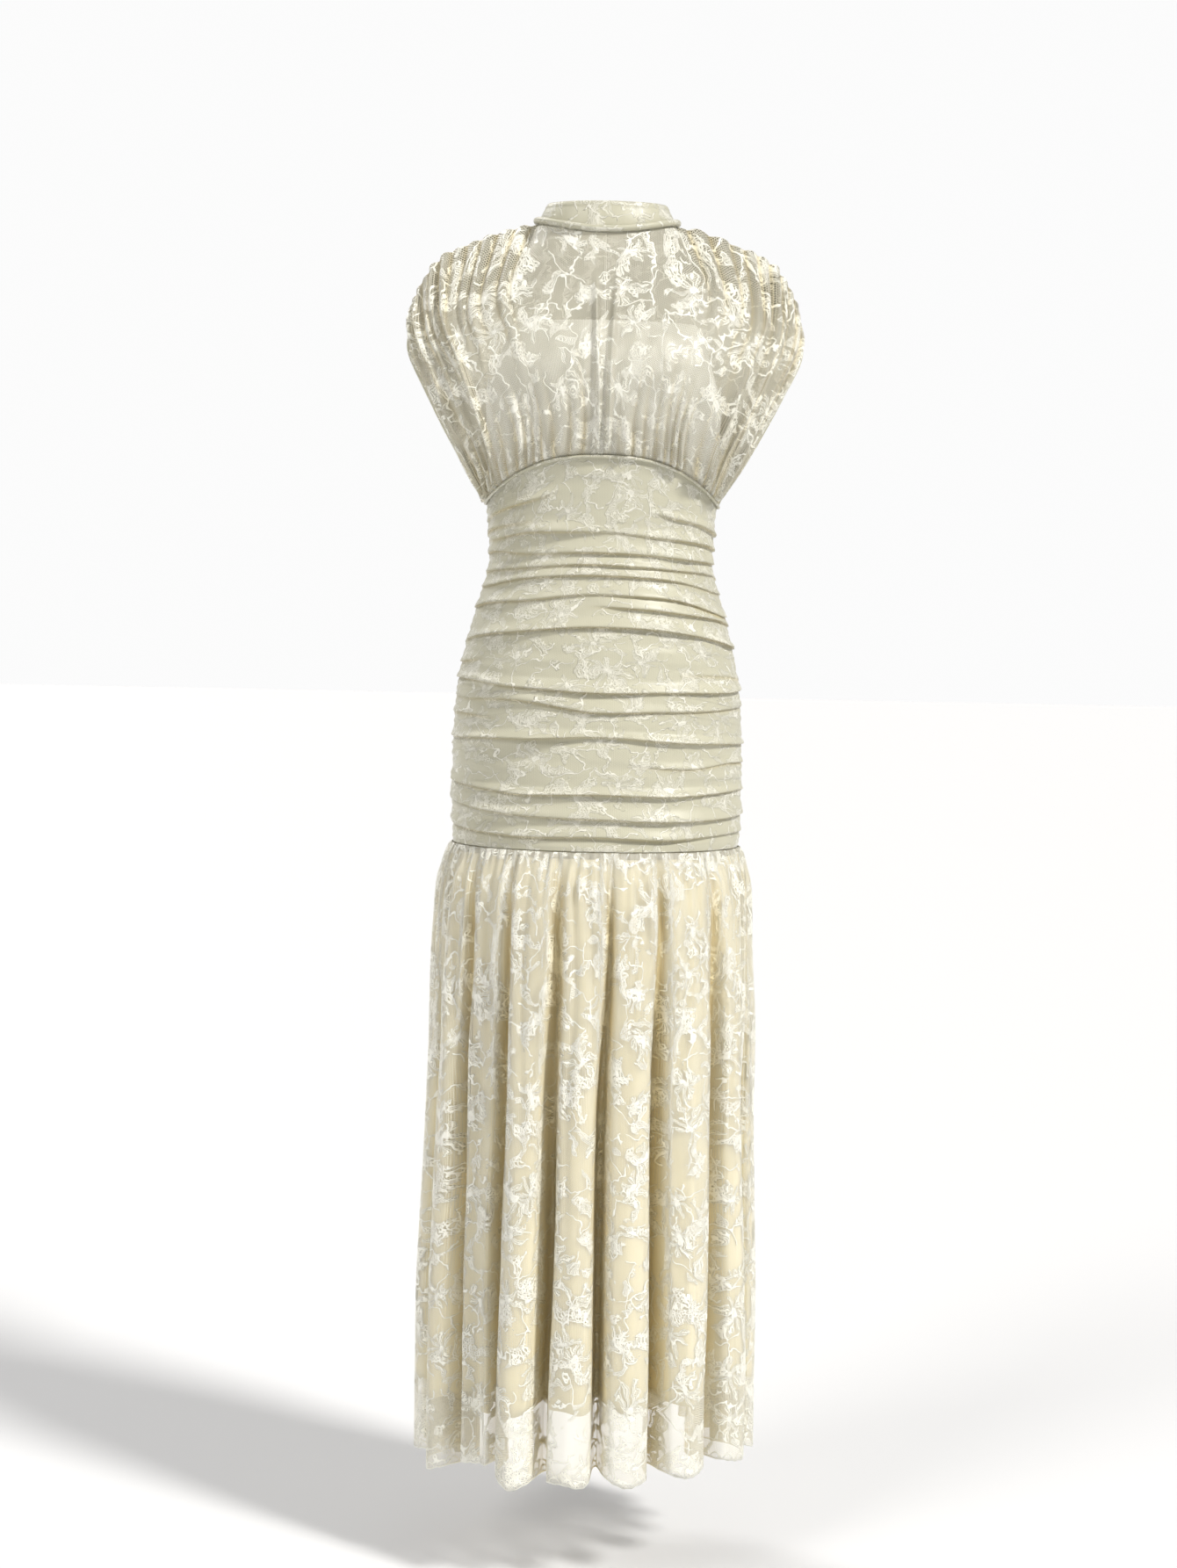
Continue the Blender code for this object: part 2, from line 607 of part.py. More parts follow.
def collar(material, parent):
    angles = round_from_back()
    low, high = neck_seam(angles), collar_top(angles)
    share = np.linspace(0, 1, 4)[:, None, None]
    outer = high + (low - high) * share
    outer[-1, :, 2] += HALF_GAP
    inner = moved_in(outer, COLLAR_CLOTH, bottom=(0, 0, 1), left=(1, 0, 0), right=(1, 0, 0))
    for grid in (outer, inner):
        grid[:, 0, 0], grid[:, -1, 0] = -HALF_GAP, HALF_GAP
    return wall("collar", outer, inner, material, parent)


def neck_piping(material, parent):
    """A padded piping that lies against the foot of the collar, just over the neck seam."""
    angles = round_from_back()
    seam = neck_seam(angles)
    up = collar_top(angles) - seam
    up /= np.linalg.norm(up, axis=1, keepdims=True)
    out = np.cross(np.gradient(seam, axis=0), up)
    out /= np.linalg.norm(out, axis=1, keepdims=True)
    route = seam + (NECK_PIPING + SEAM_GAP) * (up + out)
    route[0, 0], route[-1, 0] = -HALF_GAP - 0.0002, HALF_GAP + 0.0002
    return cord("neck_piping", route, NECK_PIPING, material, parent)


def underbust_piping(material, parent):
    """A piping that lies on the hip panel, just under the underbust seam."""
    line = underbust_seam(np.linspace(-pi, pi, 2 * HIP_COLUMNS + 1)) - Vector((0, 0, PIPING_DROP))
    step = np.gradient(line, axis=0)
    away = np.stack([step[:, 1], -step[:, 0], 0 * step[:, 0]], axis=-1)
    away /= np.linalg.norm(away, axis=1, keepdims=True)
    route = line + (UNDERBUST_PIPING + SEAM_GAP) * away
    route[0, 0], route[-1, 0] = -HALF_GAP - 0.0002, HALF_GAP + 0.0002
    return cord("underbust_piping", route, UNDERBUST_PIPING, material, parent)


def box(name, size, centre):
    mesh = bpy.data.meshes.new(name)
    block = bmesh.new()
    bmesh.ops.create_cube(block, size=1)
    bmesh.ops.scale(block, vec=size, verts=block.verts)
    bmesh.ops.translate(block, vec=centre, verts=block.verts)
    block.to_mesh(mesh)
    block.free()
    return bpy.data.objects.new(name, mesh)


def cross_bar(name, radius, length, centre, segments):
    """A cylinder along X."""
    mesh = bpy.data.meshes.new(name)
    bar = bmesh.new()
    bmesh.ops.create_cone(
        bar, cap_ends=True, segments=segments, radius1=radius, radius2=radius, depth=length
    )
    turn = Vector((0, 0, 1)).rotation_difference(Vector((1, 0, 0))).to_matrix()
    bmesh.ops.rotate(bar, cent=(0, 0, 0), matrix=turn, verts=bar.verts)
    bmesh.ops.translate(bar, vec=centre, verts=bar.verts)
    bar.to_mesh(mesh)
    bar.free()
    return bpy.data.objects.new(name, mesh)


def boolean(target, tool, operation, cutters):
    cutters.objects.link(tool)
    tool.hide_render = True
    tool.display_type = "WIRE"
    tool.parent = target.parent
    tool.location, tool.rotation_euler = target.location, target.rotation_euler
    cut = target.modifiers.new(f"{operation.lower()} {tool.name}", "BOOLEAN")
    cut.operation = operation
    cut.object = tool


def zip_seat():
    """The point of the centre back seam that carries the slider, and the lean of the cloth there."""
    down = np.array([SLIDER_DOWN - 0.03, SLIDER_DOWN, SLIDER_DOWN + 0.03])
    line = bodice_surface(np.array([0.0, 0.01]), down, -1)[:, 0]
    lean = atan2(line[2][1] - line[0][1], line[0][2] - line[2][2])
    return Vector(line[1]), lean


def zip_slider_and_pull(material, parent, cutters):
    """The slider body with a bar between two ears, and the pull tab that turns on the bar.

    Both are modelled with the seam running down -Z and the cloth's outside at +Y, then leant with the cloth.
    """
    seat, lean = zip_seat()
    rise = SEAM_GAP + 0.0003
    top = rise + SLIDER_THICKNESS
    bar_y = top + EAR_HEIGHT - BAR_RADIUS - 0.0004
    slider = box("zip_slider", (SLIDER_WIDTH, SLIDER_THICKNESS, SLIDER_LENGTH), (0, rise + SLIDER_THICKNESS / 2, 0))
    place(slider, material, parent)
    slider.location = seat
    slider.rotation_euler = (lean, 0, 0)
    ear_x = (SLIDER_WIDTH - EAR_THICKNESS) / 2
    for side in (-1, 1):
        ear = box(
            f"ear_{'left' if side < 0 else 'right'}",
            (EAR_THICKNESS, EAR_HEIGHT + 0.0004, 0.0028),
            (side * ear_x, top + EAR_HEIGHT / 2 - 0.0002, 0),
        )
        boolean(slider, ear, "UNION", cutters)
    bar = cross_bar("bar", BAR_RADIUS, SLIDER_WIDTH - EAR_THICKNESS, (0, bar_y, 0), 10)
    boolean(slider, bar, "UNION", cutters)

    axis = seat + Vector((0, bar_y * cos(lean), bar_y * sin(lean)))
    mesh = bpy.data.meshes.new("zip_pull")
    outline = bmesh.new()
    half_top, half_tip, eye = TAB_WIDTH / 2, TAB_TIP_WIDTH / 2, TAB_BARREL
    corners = [(-half_top, eye), (-half_top, -0.006), (-half_tip, -TAB_LENGTH + 0.004)]
    corners += [(half_tip * cos(a), -TAB_LENGTH + 0.0035 + 0.0035 * sin(a)) for a in np.radians(range(200, 341, 35))]
    corners += [(half_tip, -TAB_LENGTH + 0.004), (half_top, -0.006), (half_top, eye)]
    face = outline.faces.new([outline.verts.new((x, -TAB_THICKNESS / 2, z)) for x, z in corners])
    pushed = bmesh.ops.extrude_face_region(outline, geom=[face])
    moved = [v for v in pushed["geom"] if isinstance(v, bmesh.types.BMVert)]
    bmesh.ops.translate(outline, vec=(0, TAB_THICKNESS, 0), verts=moved)
    bmesh.ops.recalc_face_normals(outline, faces=outline.faces[:])
    outline.to_mesh(mesh)
    outline.free()
    pull = place(bpy.data.objects.new("zip_pull", mesh), material, parent)
    pull.location = axis
    pull.rotation_euler = (lean, 0, 0)
    boolean(pull, cross_bar("eye_barrel", TAB_BARREL, TAB_WIDTH, (0, 0, 0), 16), "UNION", cutters)
    boolean(pull, cross_bar("eye_hole", TAB_EYE, 3 * TAB_WIDTH, (0, 0, 0), 12), "DIFFERENCE", cutters)


def main():
    clear_scene()
    dress = bpy.data.collections.new("fishtail_dress")
    cutters = bpy.data.collections.new("cutters")
    for collection in (dress, cutters):
        bpy.context.scene.collection.children.link(collection)
    body = bpy.data.objects.new("dress", None)
    dress.objects.link(body)

    lace = cloth_material("ivory_lace", COLOURS["lace"], 0.65)
    satin = cloth_material("ivory_lining", COLOURS["satin"], 0.45)
    metal = cloth_material("zip_metal", COLOURS["metal"], 0.3, 1.0)

    collar(lace, body)
    neck_piping(lace, body)

    gathers = BODICE_GATHERS * COLUMNS_PER_GATHER
    bodice_piece("bodice_front", np.linspace(-1, 1, gathers + 1), 1, lace, body)
    half = np.linspace(0, 1, gathers // 2 + 1)
    bodice_piece("bodice_back_left", half, -1, lace, body)
    bodice_piece("bodice_back_right", -half[::-1], -1, lace, body)
    armhole_binding("armhole_binding_left", 1, lace, body)
    armhole_binding("armhole_binding_right", -1, lace, body)

    front = np.linspace(-pi / 2, pi / 2, HIP_COLUMNS + 1)
    back_left = np.linspace(pi / 2, pi, HIP_COLUMNS // 2 + 1)
    back_right = back_left + pi / 2
    bandeau_piece("bust_lining_front", front, satin, body)
    bandeau_piece("bust_lining_back_left", back_left, satin, body, opening=1)
    bandeau_piece("bust_lining_back_right", back_right, satin, body, opening=-1)

    underbust_piping(lace, body)

    hip_piece("hip_front", front, FRONT_FOLDS, lace, body)
    hip_piece("hip_back_left", back_left, BACK_FOLDS, lace, body, opening=1)
    hip_piece("hip_back_right", back_right, BACK_FOLDS, lace, body, opening=-1)

    skirt_piece("skirt_front", True, lace, body)
    skirt_piece("skirt_back", False, lace, body)
    skirt_lining_piece("skirt_lining_front", True, satin, body)
    skirt_lining_piece("skirt_lining_back", False, satin, body)

    zip_slider_and_pull(metal, body, cutters)


main()
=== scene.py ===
from math import pi, radians

import bmesh
import bpy
import numpy as np
from mathutils import Matrix, Vector


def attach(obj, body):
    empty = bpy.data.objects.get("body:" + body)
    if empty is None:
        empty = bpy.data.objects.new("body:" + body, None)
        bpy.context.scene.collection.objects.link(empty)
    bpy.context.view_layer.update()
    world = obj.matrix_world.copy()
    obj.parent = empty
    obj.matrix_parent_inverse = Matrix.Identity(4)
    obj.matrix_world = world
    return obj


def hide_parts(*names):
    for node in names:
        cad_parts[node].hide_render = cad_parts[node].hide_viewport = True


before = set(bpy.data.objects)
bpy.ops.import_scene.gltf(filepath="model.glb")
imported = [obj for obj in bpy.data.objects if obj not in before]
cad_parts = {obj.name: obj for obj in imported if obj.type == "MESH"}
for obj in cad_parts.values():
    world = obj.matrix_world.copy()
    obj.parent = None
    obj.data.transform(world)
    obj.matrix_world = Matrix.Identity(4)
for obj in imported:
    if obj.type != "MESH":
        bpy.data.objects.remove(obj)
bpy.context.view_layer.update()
print("frame loaded")

# Metres. The front of the dress faces -Y and the wearer's left side is at +X.
halfGap = 0.00015            # half of the space between two pieces at a seam
trimGap = 0.00035            # half of the space between the ends of a trim at the centre back
hipSeamZ = -0.705            # where the skirt is gathered on to the hip panel

underbust = {"frontZ": -0.259, "backZ": -0.298, "sideZ": -0.309, "arch": 2.6}

neck = {"halfWidth": 0.080, "front": 0.066, "back": 0.060, "frontZ": -0.006, "sideZ": 0.010, "backZ": 0.013}

hipShape = {
    "z": [-0.705, -0.650, -0.595, -0.544, -0.492, -0.441, -0.415, -0.389, -0.364, -0.338, -0.309, -0.250],
    "halfWidth": [0.167, 0.1685, 0.168, 0.166, 0.1585, 0.146, 0.1385, 0.131, 0.1285, 0.13, 0.1335, 0.1385],
    "front": [0.118, 0.1185, 0.118, 0.116, 0.111, 0.104, 0.1, 0.0965, 0.095, 0.096, 0.099, 0.1095],
    "back": [0.122, 0.1265, 0.128, 0.124, 0.115, 0.103, 0.097, 0.0915, 0.088, 0.0865, 0.0865, 0.089],
}


# Shared shaping
foldNumbers = 64             # random numbers in a list, one for each fold
patchNumbers = 61            # random numbers along each side of a table, one for each patch


def ease(t):
    t = np.clip(t, 0, 1)
    return t * t * (3 - 2 * t)


def curveThrough(at, xs, ys):
    # cubic through the points (xs, ys), xs rising; ys may hold whole rows of points
    xs, ys, at = np.asarray(xs, float), np.asarray(ys, float), np.asarray(at, float)
    slope = np.gradient(ys, xs, axis=0)
    i = np.clip(np.searchsorted(xs, at) - 1, 0, len(xs) - 2)
    step = xs[i + 1] - xs[i]
    t = np.clip((at - xs[i]) / step, 0, 1)
    shape = t.shape + (1,) * (ys.ndim - 1)
    t, step = t.reshape(shape), step.reshape(shape)
    return (
        (1 + 2 * t) * (1 - t) ** 2 * ys[i]
        + t * (1 - t) ** 2 * step * slope[i]
        + t * t * (3 - 2 * t) * ys[i + 1]
        + t * t * (t - 1) * step * slope[i + 1]
    )


def bell(distance, width):
    return np.exp(-((distance / width) ** 2))


def unit(vectors):
    return vectors / np.linalg.norm(vectors, axis=-1, keepdims=True)


def chance(seed, low=0.0, high=1.0):
    return np.random.default_rng(seed).uniform(low, high, foldNumbers)


def wander(x, y, seed):
    # smooth seeded unevenness from -1 to 1 that changes over a distance of 1
    table = np.random.default_rng(seed).uniform(-1, 1, (patchNumbers, patchNumbers))
    x, y = np.broadcast_arrays(np.asarray(x, float), np.asarray(y, float))
    left, low = np.floor(x).astype(int), np.floor(y).astype(int)
    fx, fy = ease(x - left), ease(y - low)
    corner = [table[(left + i) % patchNumbers, (low + j) % patchNumbers] for i in (0, 1) for j in (0, 1)]
    return (corner[0] * (1 - fy) + corner[1] * fy) * (1 - fx) + (corner[2] * (1 - fy) + corner[3] * fy) * fx


def tubes(phase, seed, sharp=0.8):
    # round folds with narrow valleys at whole numbers of phase, and two random numbers for each fold
    index = np.floor(phase).astype(int) % foldNumbers
    return np.abs(np.sin(pi * phase)) ** sharp, chance(seed)[index], chance(seed + 1)[index]


def ring(sections, angle, z):
    # an oval ring by the angle from the centre front towards +X
    angle, z = np.broadcast_arrays(angle, z)
    halfWidth, front, back = (
        curveThrough(z, sections["z"], sections[size]) for size in ("halfWidth", "front", "back"))
    depth = np.where(np.cos(angle) >= 0, front, back)
    return np.stack([halfWidth * np.sin(angle), -depth * np.cos(angle), z], axis=-1)


def outwards(grid):
    # normals of a grid whose rows run down and whose columns run anticlockwise seen from above
    return unit(np.cross(np.gradient(grid, axis=0), np.gradient(grid, axis=1)))


def without(normals, axis):
    # the normals turned square to an axis, as at a seam
    flat = normals.copy()
    flat[..., axis] = 0
    return unit(flat)


def underbustZ(angle):
    centre = np.where(np.cos(angle) >= 0, underbust["frontZ"], underbust["backZ"])
    return centre + (underbust["sideZ"] - centre) * np.abs(np.sin(angle)) ** underbust["arch"]


def underbustSeam(angle):
    return ring(hipShape, angle, underbustZ(angle))


def neckSeam(angle):
    forward = np.cos(angle) >= 0
    depth = np.where(forward, neck["front"], neck["back"])
    centreZ = np.where(forward, neck["frontZ"], neck["backZ"])
    z = neck["sideZ"] + (centreZ - neck["sideZ"]) * np.cos(angle) ** 2
    return np.stack([neck["halfWidth"] * np.sin(angle), -depth * np.cos(angle), z], axis=-1)


# Making cloth and trims
def lengthAlong(line):
    return np.concatenate([[0], np.cumsum(np.linalg.norm(np.diff(line, axis=0), axis=1))])


def gridMesh(name, points):
    # squares over points[row, column]
    sheet = bmesh.new()
    bmesh.ops.create_grid(sheet, x_segments=points.shape[1] - 1, y_segments=points.shape[0] - 1, size=0.5)
    mesh = bpy.data.meshes.new(name)
    sheet.to_mesh(mesh)
    sheet.free()
    mesh.vertices.foreach_set("co", points.ravel())
    return mesh


def addPiece(name, node, mesh, look):
    mesh.shade_smooth()
    mesh.materials.append(look["material"])
    piece = bpy.data.objects.new(name, mesh)
    bpy.context.collection.objects.link(piece)
    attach(piece, "dress")
    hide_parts(node)
    return piece


def nameCloth(mesh, flat):
    # flat is each vertex's place on the cut cloth, in metres
    corner = np.zeros(len(mesh.loops), int)
    mesh.loops.foreach_get("vertex_index", corner)
    mesh.uv_layers.new(name="cloth").data.foreach_set("uv", flat[corner].ravel())


def makeCloth(name, node, points, look, thickness, patternFrom=(0, 1), widestRow=0.5, cut=(1, 1),
              area=None, foldShade=None):
    # points[row, column] run down from the top edge and anticlockwise, so the faces point outwards;
    # patternFrom is where the lower left corner lies on the lace; cut is the cloth's size against its
    # worn size; the shade mask in the last argument is 1 in the valleys of deep folds, for painted shade
    mesh = gridMesh(name, points[::-1])
    rows, columns = points.shape[0] - 1, points.shape[1] - 1
    across = lengthAlong(points[int(widestRow * rows)])
    down = lengthAlong(points[:, columns // 2])
    up = (down[-1] - down) * cut[1]
    flat = np.stack(np.meshgrid(across * cut[0] + patternFrom[0], up + patternFrom[1]), axis=-1)
    nameCloth(mesh, flat[::-1].reshape(-1, 2))
    # painted shade: a mask kept on the mesh, by which the materials darken the valleys of folds
    if foldShade is not None:
        mesh.attributes.new("foldShade", "FLOAT", "POINT").data.foreach_set("value", foldShade[::-1].ravel())
    piece = addPiece(name, node, mesh, look)
    wall = piece.modifiers.new("thickness", "SOLIDIFY")
    wall.thickness = thickness
    wall.offset = -1
    width, length = float(across[-1] * cut[0]), float(down[-1] * cut[1])
    area = None if area is None else area * width * length
    print(f"{name}: cut {width:.3f} by {length:.3f}")


trim = {
    "neverAlong": (0.013, 0.021, 1.0),   # a direction in which no trim runs
    "wrinkle": 0.006,
    "seamTurn": 0.6,         # radians beside its seam that have no wrinkles
    "mergeWithin": 0.00001,
}


def makeTrim(name, node, path, radius, look, sides=12, closed=False, unevenness=0.0, seed=1):
    # a sheet of squares rolled into a tube along the path
    path = np.asarray(path, float)
    if closed:
        path = np.concatenate([path, path[:1]])
    ahead = np.gradient(path, axis=0)
    if closed:
        ahead[0] = ahead[-1] = path[1] - path[-2]
    ahead = unit(ahead)
    side = unit(np.cross(ahead, trim["neverAlong"]))
    lift = np.cross(side, ahead)
    along = lengthAlong(path)
    turns, places = np.meshgrid(np.linspace(0, 2 * pi, sides + 1), along)
    wrinkle = wander(places / trim["wrinkle"], np.cos(turns) * 1.5 + 3, seed)
    wrinkle += 0.5 * wander(2 * places / trim["wrinkle"], turns, seed + 1)
    wrinkle *= ease(np.minimum(places, along[-1] - places) / trim["wrinkle"])
    wrinkle *= ease(np.minimum(turns, 2 * pi - turns) / trim["seamTurn"])
    size = (radius * (1 + unevenness * wrinkle))[..., None]
    around = np.cos(turns)[..., None] * side[:, None] + np.sin(turns)[..., None] * lift[:, None]
    mesh = gridMesh(name, path[:, None] + size * around)
    nameCloth(mesh, np.stack([turns * radius, places], axis=-1).reshape(-1, 2))
    tube = bmesh.new()
    tube.from_mesh(mesh)
    bmesh.ops.remove_doubles(tube, verts=tube.verts, dist=trim["mergeWithin"])
    if not closed:
        bmesh.ops.holes_fill(tube, edges=tube.edges, sides=sides)
    bmesh.ops.recalc_face_normals(tube, faces=tube.faces)
    tube.to_mesh(mesh)
    tube.free()
    return addPiece(name, node, mesh, look)


# Lace, lining and metal
lace = {
    "netPitch": 0.0021,
    "netThread": -0.52,      # from -1, thin threads, to 1, hardly a hole
    "pulls": [(0.030, 1.5, 0.030), (0.0085, 1.0, 0.006)],   # size, detail and reach of its unevenness
    "cellSize": 0.031,       # rounded open cells between corded vines
    "vineWidth": 0.0011,
    "vineBreaks": 0.026,
    "blossomSpacing": 0.062,
    "blossomSize": 0.021,
    "petals": 7,
    "petalWidth": 0.86,      # share of its sector that a petal fills
    "petalRoundness": 2.4,
    "petalRibs": 11,
    "heartRadius": 0.0032,
    "leafSpacing": 0.030,
    "leafLength": 0.0125,
    "leafWidth": 0.0038,
    "veinPitch": 0.0026,
    "seedSize": 0.0034,      # of the close ground in patches
    "seedPatch": 0.030,
    "cordWidth": 0.00085,    # of the cord that outlines petals and leaves
    "edgeCord": 0.0018,      # woven edge along the skirt's hem
    "edgeArc": 0.0085,       # height and half width of the arcs on it
    "roughness": 0.42,
    "linedRoughness": 0.37,  # smoother, stretched over the lining
    "relief": 0.0010,
    "linedRelief": 0.0030,
}

# Over the skirt and bodice the lace is a layer of its own. At the back of the bodice its holes are nearly
# closed and its net is dark, painted shade seen through the sheer front. At the collar and on the hips it
# is one with its lining.
sheerColours = {"thread": (0.96, 0.95, 0.86, 1), "net": (0.91, 0.88, 0.75, 1), "closed": 0.0}
# painted shade: the bodice front's net is darker than the skirt's, as net seen against shadow
gatheredShadedColours = {"thread": (0.94, 0.93, 0.84, 1), "net": (0.74, 0.71, 0.59, 1), "closed": 0.0}
# painted shade: the dark net and nearly closed holes stand for the shadow seen through the sheer front
backShadedColours = {"thread": (0.93, 0.91, 0.81, 1), "net": (0.57, 0.54, 0.43, 1), "closed": 0.92}
linedColours = {
    "thread": (0.88, 0.86, 0.75, 1),
    "net": (0.64, 0.62, 0.49, 1),
    "backing": (0.54, 0.52, 0.39, 1),
}
foldShadeColour = (0.90, 0.80, 0.56, 1)    # painted shade: the colour is multiplied towards this in the valleys of folds


def feed(tree, sockets, values):
    for socket, value in zip(sockets, values):
        if isinstance(value, bpy.types.NodeSocket):
            tree.links.new(value, socket)
        else:
            socket.default_value = value


def calc(tree, operation, *values):
    node = tree.nodes.new("ShaderNodeMath")
    node.operation = operation
    feed(tree, node.inputs, values)
    return node.outputs[0]


def times(tree, *values):
    return calc(tree, "MULTIPLY", *values)


def minus(tree, *values):
    return calc(tree, "SUBTRACT", *values)


def larger(tree, *values):
    return calc(tree, "MAXIMUM", *values)


def vectorCalc(tree, operation, *values):
    node = tree.nodes.new("ShaderNodeVectorMath")
    node.operation = operation
    feed(tree, node.inputs, values)
    return node


def fadeBetween(tree, value, start, stop):
    # 0 at start and 1 at stop, whichever is larger
    node = tree.nodes.new("ShaderNodeMapRange")
    node.interpolation_type = "SMOOTHSTEP"
    low, high = min(start, stop), max(start, stop)
    tree.links.new(value, node.inputs["Value"])
    node.inputs["From Min"].default_value = low
    node.inputs["From Max"].default_value = high
    node.inputs["To Min"].default_value = 0 if start < stop else 1
    node.inputs["To Max"].default_value = 1 if start < stop else 0
    return node.outputs[0]


def voronoi(tree, place, spacing, feature="F1", randomness=1.0):
    node = tree.nodes.new("ShaderNodeTexVoronoi")
    node.voronoi_dimensions = "2D"
    node.feature = feature
    node.inputs["Scale"].default_value = 1 / spacing
    node.inputs["Randomness"].default_value = randomness
    tree.links.new(place, node.inputs["Vector"])
    return node


def noise(tree, place, size, detail=1.0, output=0):
    node = tree.nodes.new("ShaderNodeTexNoise")
    node.noise_dimensions = "2D"
    node.inputs["Scale"].default_value = 1 / size
    node.inputs["Detail"].default_value = detail
    tree.links.new(place, node.inputs["Vector"])
    return node.outputs[output]


def parts(tree, vector):
    node = tree.nodes.new("ShaderNodeSeparateXYZ")
    tree.links.new(vector, node.inputs[0])
    return node.outputs["X"], node.outputs["Y"], node.outputs["Z"]


def clothPlace(tree):
    node = tree.nodes.new("ShaderNodeUVMap")
    node.uv_map = "cloth"
    return node.outputs[0]


def placeInCell(tree, place, cell):
    # place measured from the middle of its cell, with two of the cell's random numbers
    x, y, _ = parts(tree, vectorCalc(tree, "SUBTRACT", place, cell.outputs["Position"]).outputs[0])
    first, second, _ = parts(tree, cell.outputs["Color"])
    return x, y, first, second


def lacePattern():
    tree = bpy.data.node_groups.new("floralLace", "ShaderNodeTree")
    plain = place = clothPlace(tree)
    for size, detail, reach in lace["pulls"]:
        shift = vectorCalc(tree, "SUBTRACT", noise(tree, plain, size, detail, 1), (0.5, 0.5, 0.5))
        pull = vectorCalc(tree, "SCALE", shift.outputs[0])
        pull.inputs["Scale"].default_value = reach
        place = vectorCalc(tree, "ADD", place, pull.outputs[0]).outputs[0]

    # corded vines round open cells, broken here and there
    edge = voronoi(tree, place, lace["cellSize"], "DISTANCE_TO_EDGE", 0.9).outputs["Distance"]
    edge = times(tree, edge, lace["cellSize"])
    vine = fadeBetween(tree, edge, lace["vineWidth"], lace["vineWidth"] * 0.5)
    vine = times(tree, vine, fadeBetween(tree, noise(tree, plain, lace["vineBreaks"], 0), 0.42, 0.48))

    # blossoms of narrow petals, outlined and ribbed from the heart
    cell = voronoi(tree, place, lace["blossomSpacing"], randomness=0.8)
    x, y, first, second = placeInCell(tree, place, cell)
    away = calc(tree, "SQRT", calc(tree, "ADD", times(tree, x, x), times(tree, y, y)))
    bearing = calc(tree, "ADD", calc(tree, "ARCTAN2", y, x), times(tree, first, 2 * pi))
    turn = times(tree, bearing, lace["petals"] / (2 * pi))
    aside = calc(tree, "ABSOLUTE", minus(tree, calc(tree, "FRACT", turn), 0.5))
    aside = times(tree, aside, 2 / lace["petalWidth"])
    size = calc(tree, "MULTIPLY_ADD", second, 0.4 * lace["blossomSize"], 0.8 * lace["blossomSize"])
    bulge = minus(tree, 1, calc(tree, "POWER", aside, lace["petalRoundness"]))
    reach = times(tree, size, bulge)
    depth = minus(tree, reach, away)
    blossom = fadeBetween(tree, depth, 0, 0.0006)
    cord = lace["cordWidth"]
    sideways = times(tree, minus(tree, 1, aside), times(tree, away, 0.45))
    inward = calc(tree, "MINIMUM", depth, sideways)
    rim = times(tree, fadeBetween(tree, inward, cord * 1.5, cord * 0.8), blossom)
    rib = calc(tree, "COSINE", times(tree, aside, lace["petalRibs"]))
    rib = times(tree, fadeBetween(tree, rib, 0.1, 0.7), blossom)
    heart = calc(tree, "ABSOLUTE", minus(tree, away, lace["heartRadius"]))
    heart = fadeBetween(tree, heart, 0.0012, 0.0005)

    # sprays of veined leaves
    cell = voronoi(tree, place, lace["leafSpacing"])
    x, y, first, second = placeInCell(tree, place, cell)
    angle = times(tree, first, 2 * pi)
    cosine, sine = calc(tree, "COSINE", angle), calc(tree, "SINE", angle)
    along = calc(tree, "ADD", times(tree, x, cosine), times(tree, y, sine))
    aside = minus(tree, times(tree, y, cosine), times(tree, x, sine))
    aside = calc(tree, "ABSOLUTE", aside)
    share = calc(tree, "DIVIDE", along, lace["leafLength"])
    width = minus(tree, 1, times(tree, share, share))
    width = times(tree, width, lace["leafWidth"])
    inside = minus(tree, width, aside)
    shown = fadeBetween(tree, second, 0.34, 0.36)
    leaf = times(tree, fadeBetween(tree, inside, 0, 0.0005), shown)
    leafRim = times(tree, fadeBetween(tree, inside, cord * 1.4, cord * 0.7), leaf)
    slant = calc(tree, "ADD", along, times(tree, aside, 0.9))
    vein = calc(tree, "SINE", times(tree, slant, 2 * pi / lace["veinPitch"]))
    vein = times(tree, fadeBetween(tree, vein, -0.1, 0.5), leaf)

    # close seeded ground in patches, and the fine net everywhere
    seed = voronoi(tree, place, lace["seedSize"], "DISTANCE_TO_EDGE").outputs["Distance"]
    zone = fadeBetween(tree, noise(tree, place, lace["seedPatch"], 1), 0.56, 0.60)
    seeded = times(tree, fadeBetween(tree, seed, 0.26, 0.14), zone)
    px, py, _ = parts(tree, plain)
    rate = 4 * pi / (lace["netPitch"] * 3**0.5)
    waves = []
    for cosTurn, sinTurn in ((1, 0), (-0.5, 0.866), (-0.5, -0.866)):
        across = times(tree, px, cosTurn * rate)
        waves.append(calc(tree, "COSINE", calc(tree, "MULTIPLY_ADD", py, sinTurn * rate, across)))
    hole = calc(tree, "ADD", calc(tree, "ADD", waves[0], waves[1]), waves[2])
    net = fadeBetween(tree, hole, lace["netThread"], lace["netThread"] - 0.55)

    # the woven edge, at height 0 of the cloth, with a row of arcs on it
    bow = calc(tree, "ABSOLUTE", calc(tree, "SINE", times(tree, px, pi / (2 * lace["edgeArc"]))))
    arcs = calc(tree, "ABSOLUTE", minus(tree, py, times(tree, bow, lace["edgeArc"])))
    arcs = fadeBetween(tree, arcs, cord * 1.2, cord * 0.6)
    edging = fadeBetween(tree, py, lace["edgeCord"] * 1.2, lace["edgeCord"] * 0.8)
    edging = larger(tree, edging, arcs)

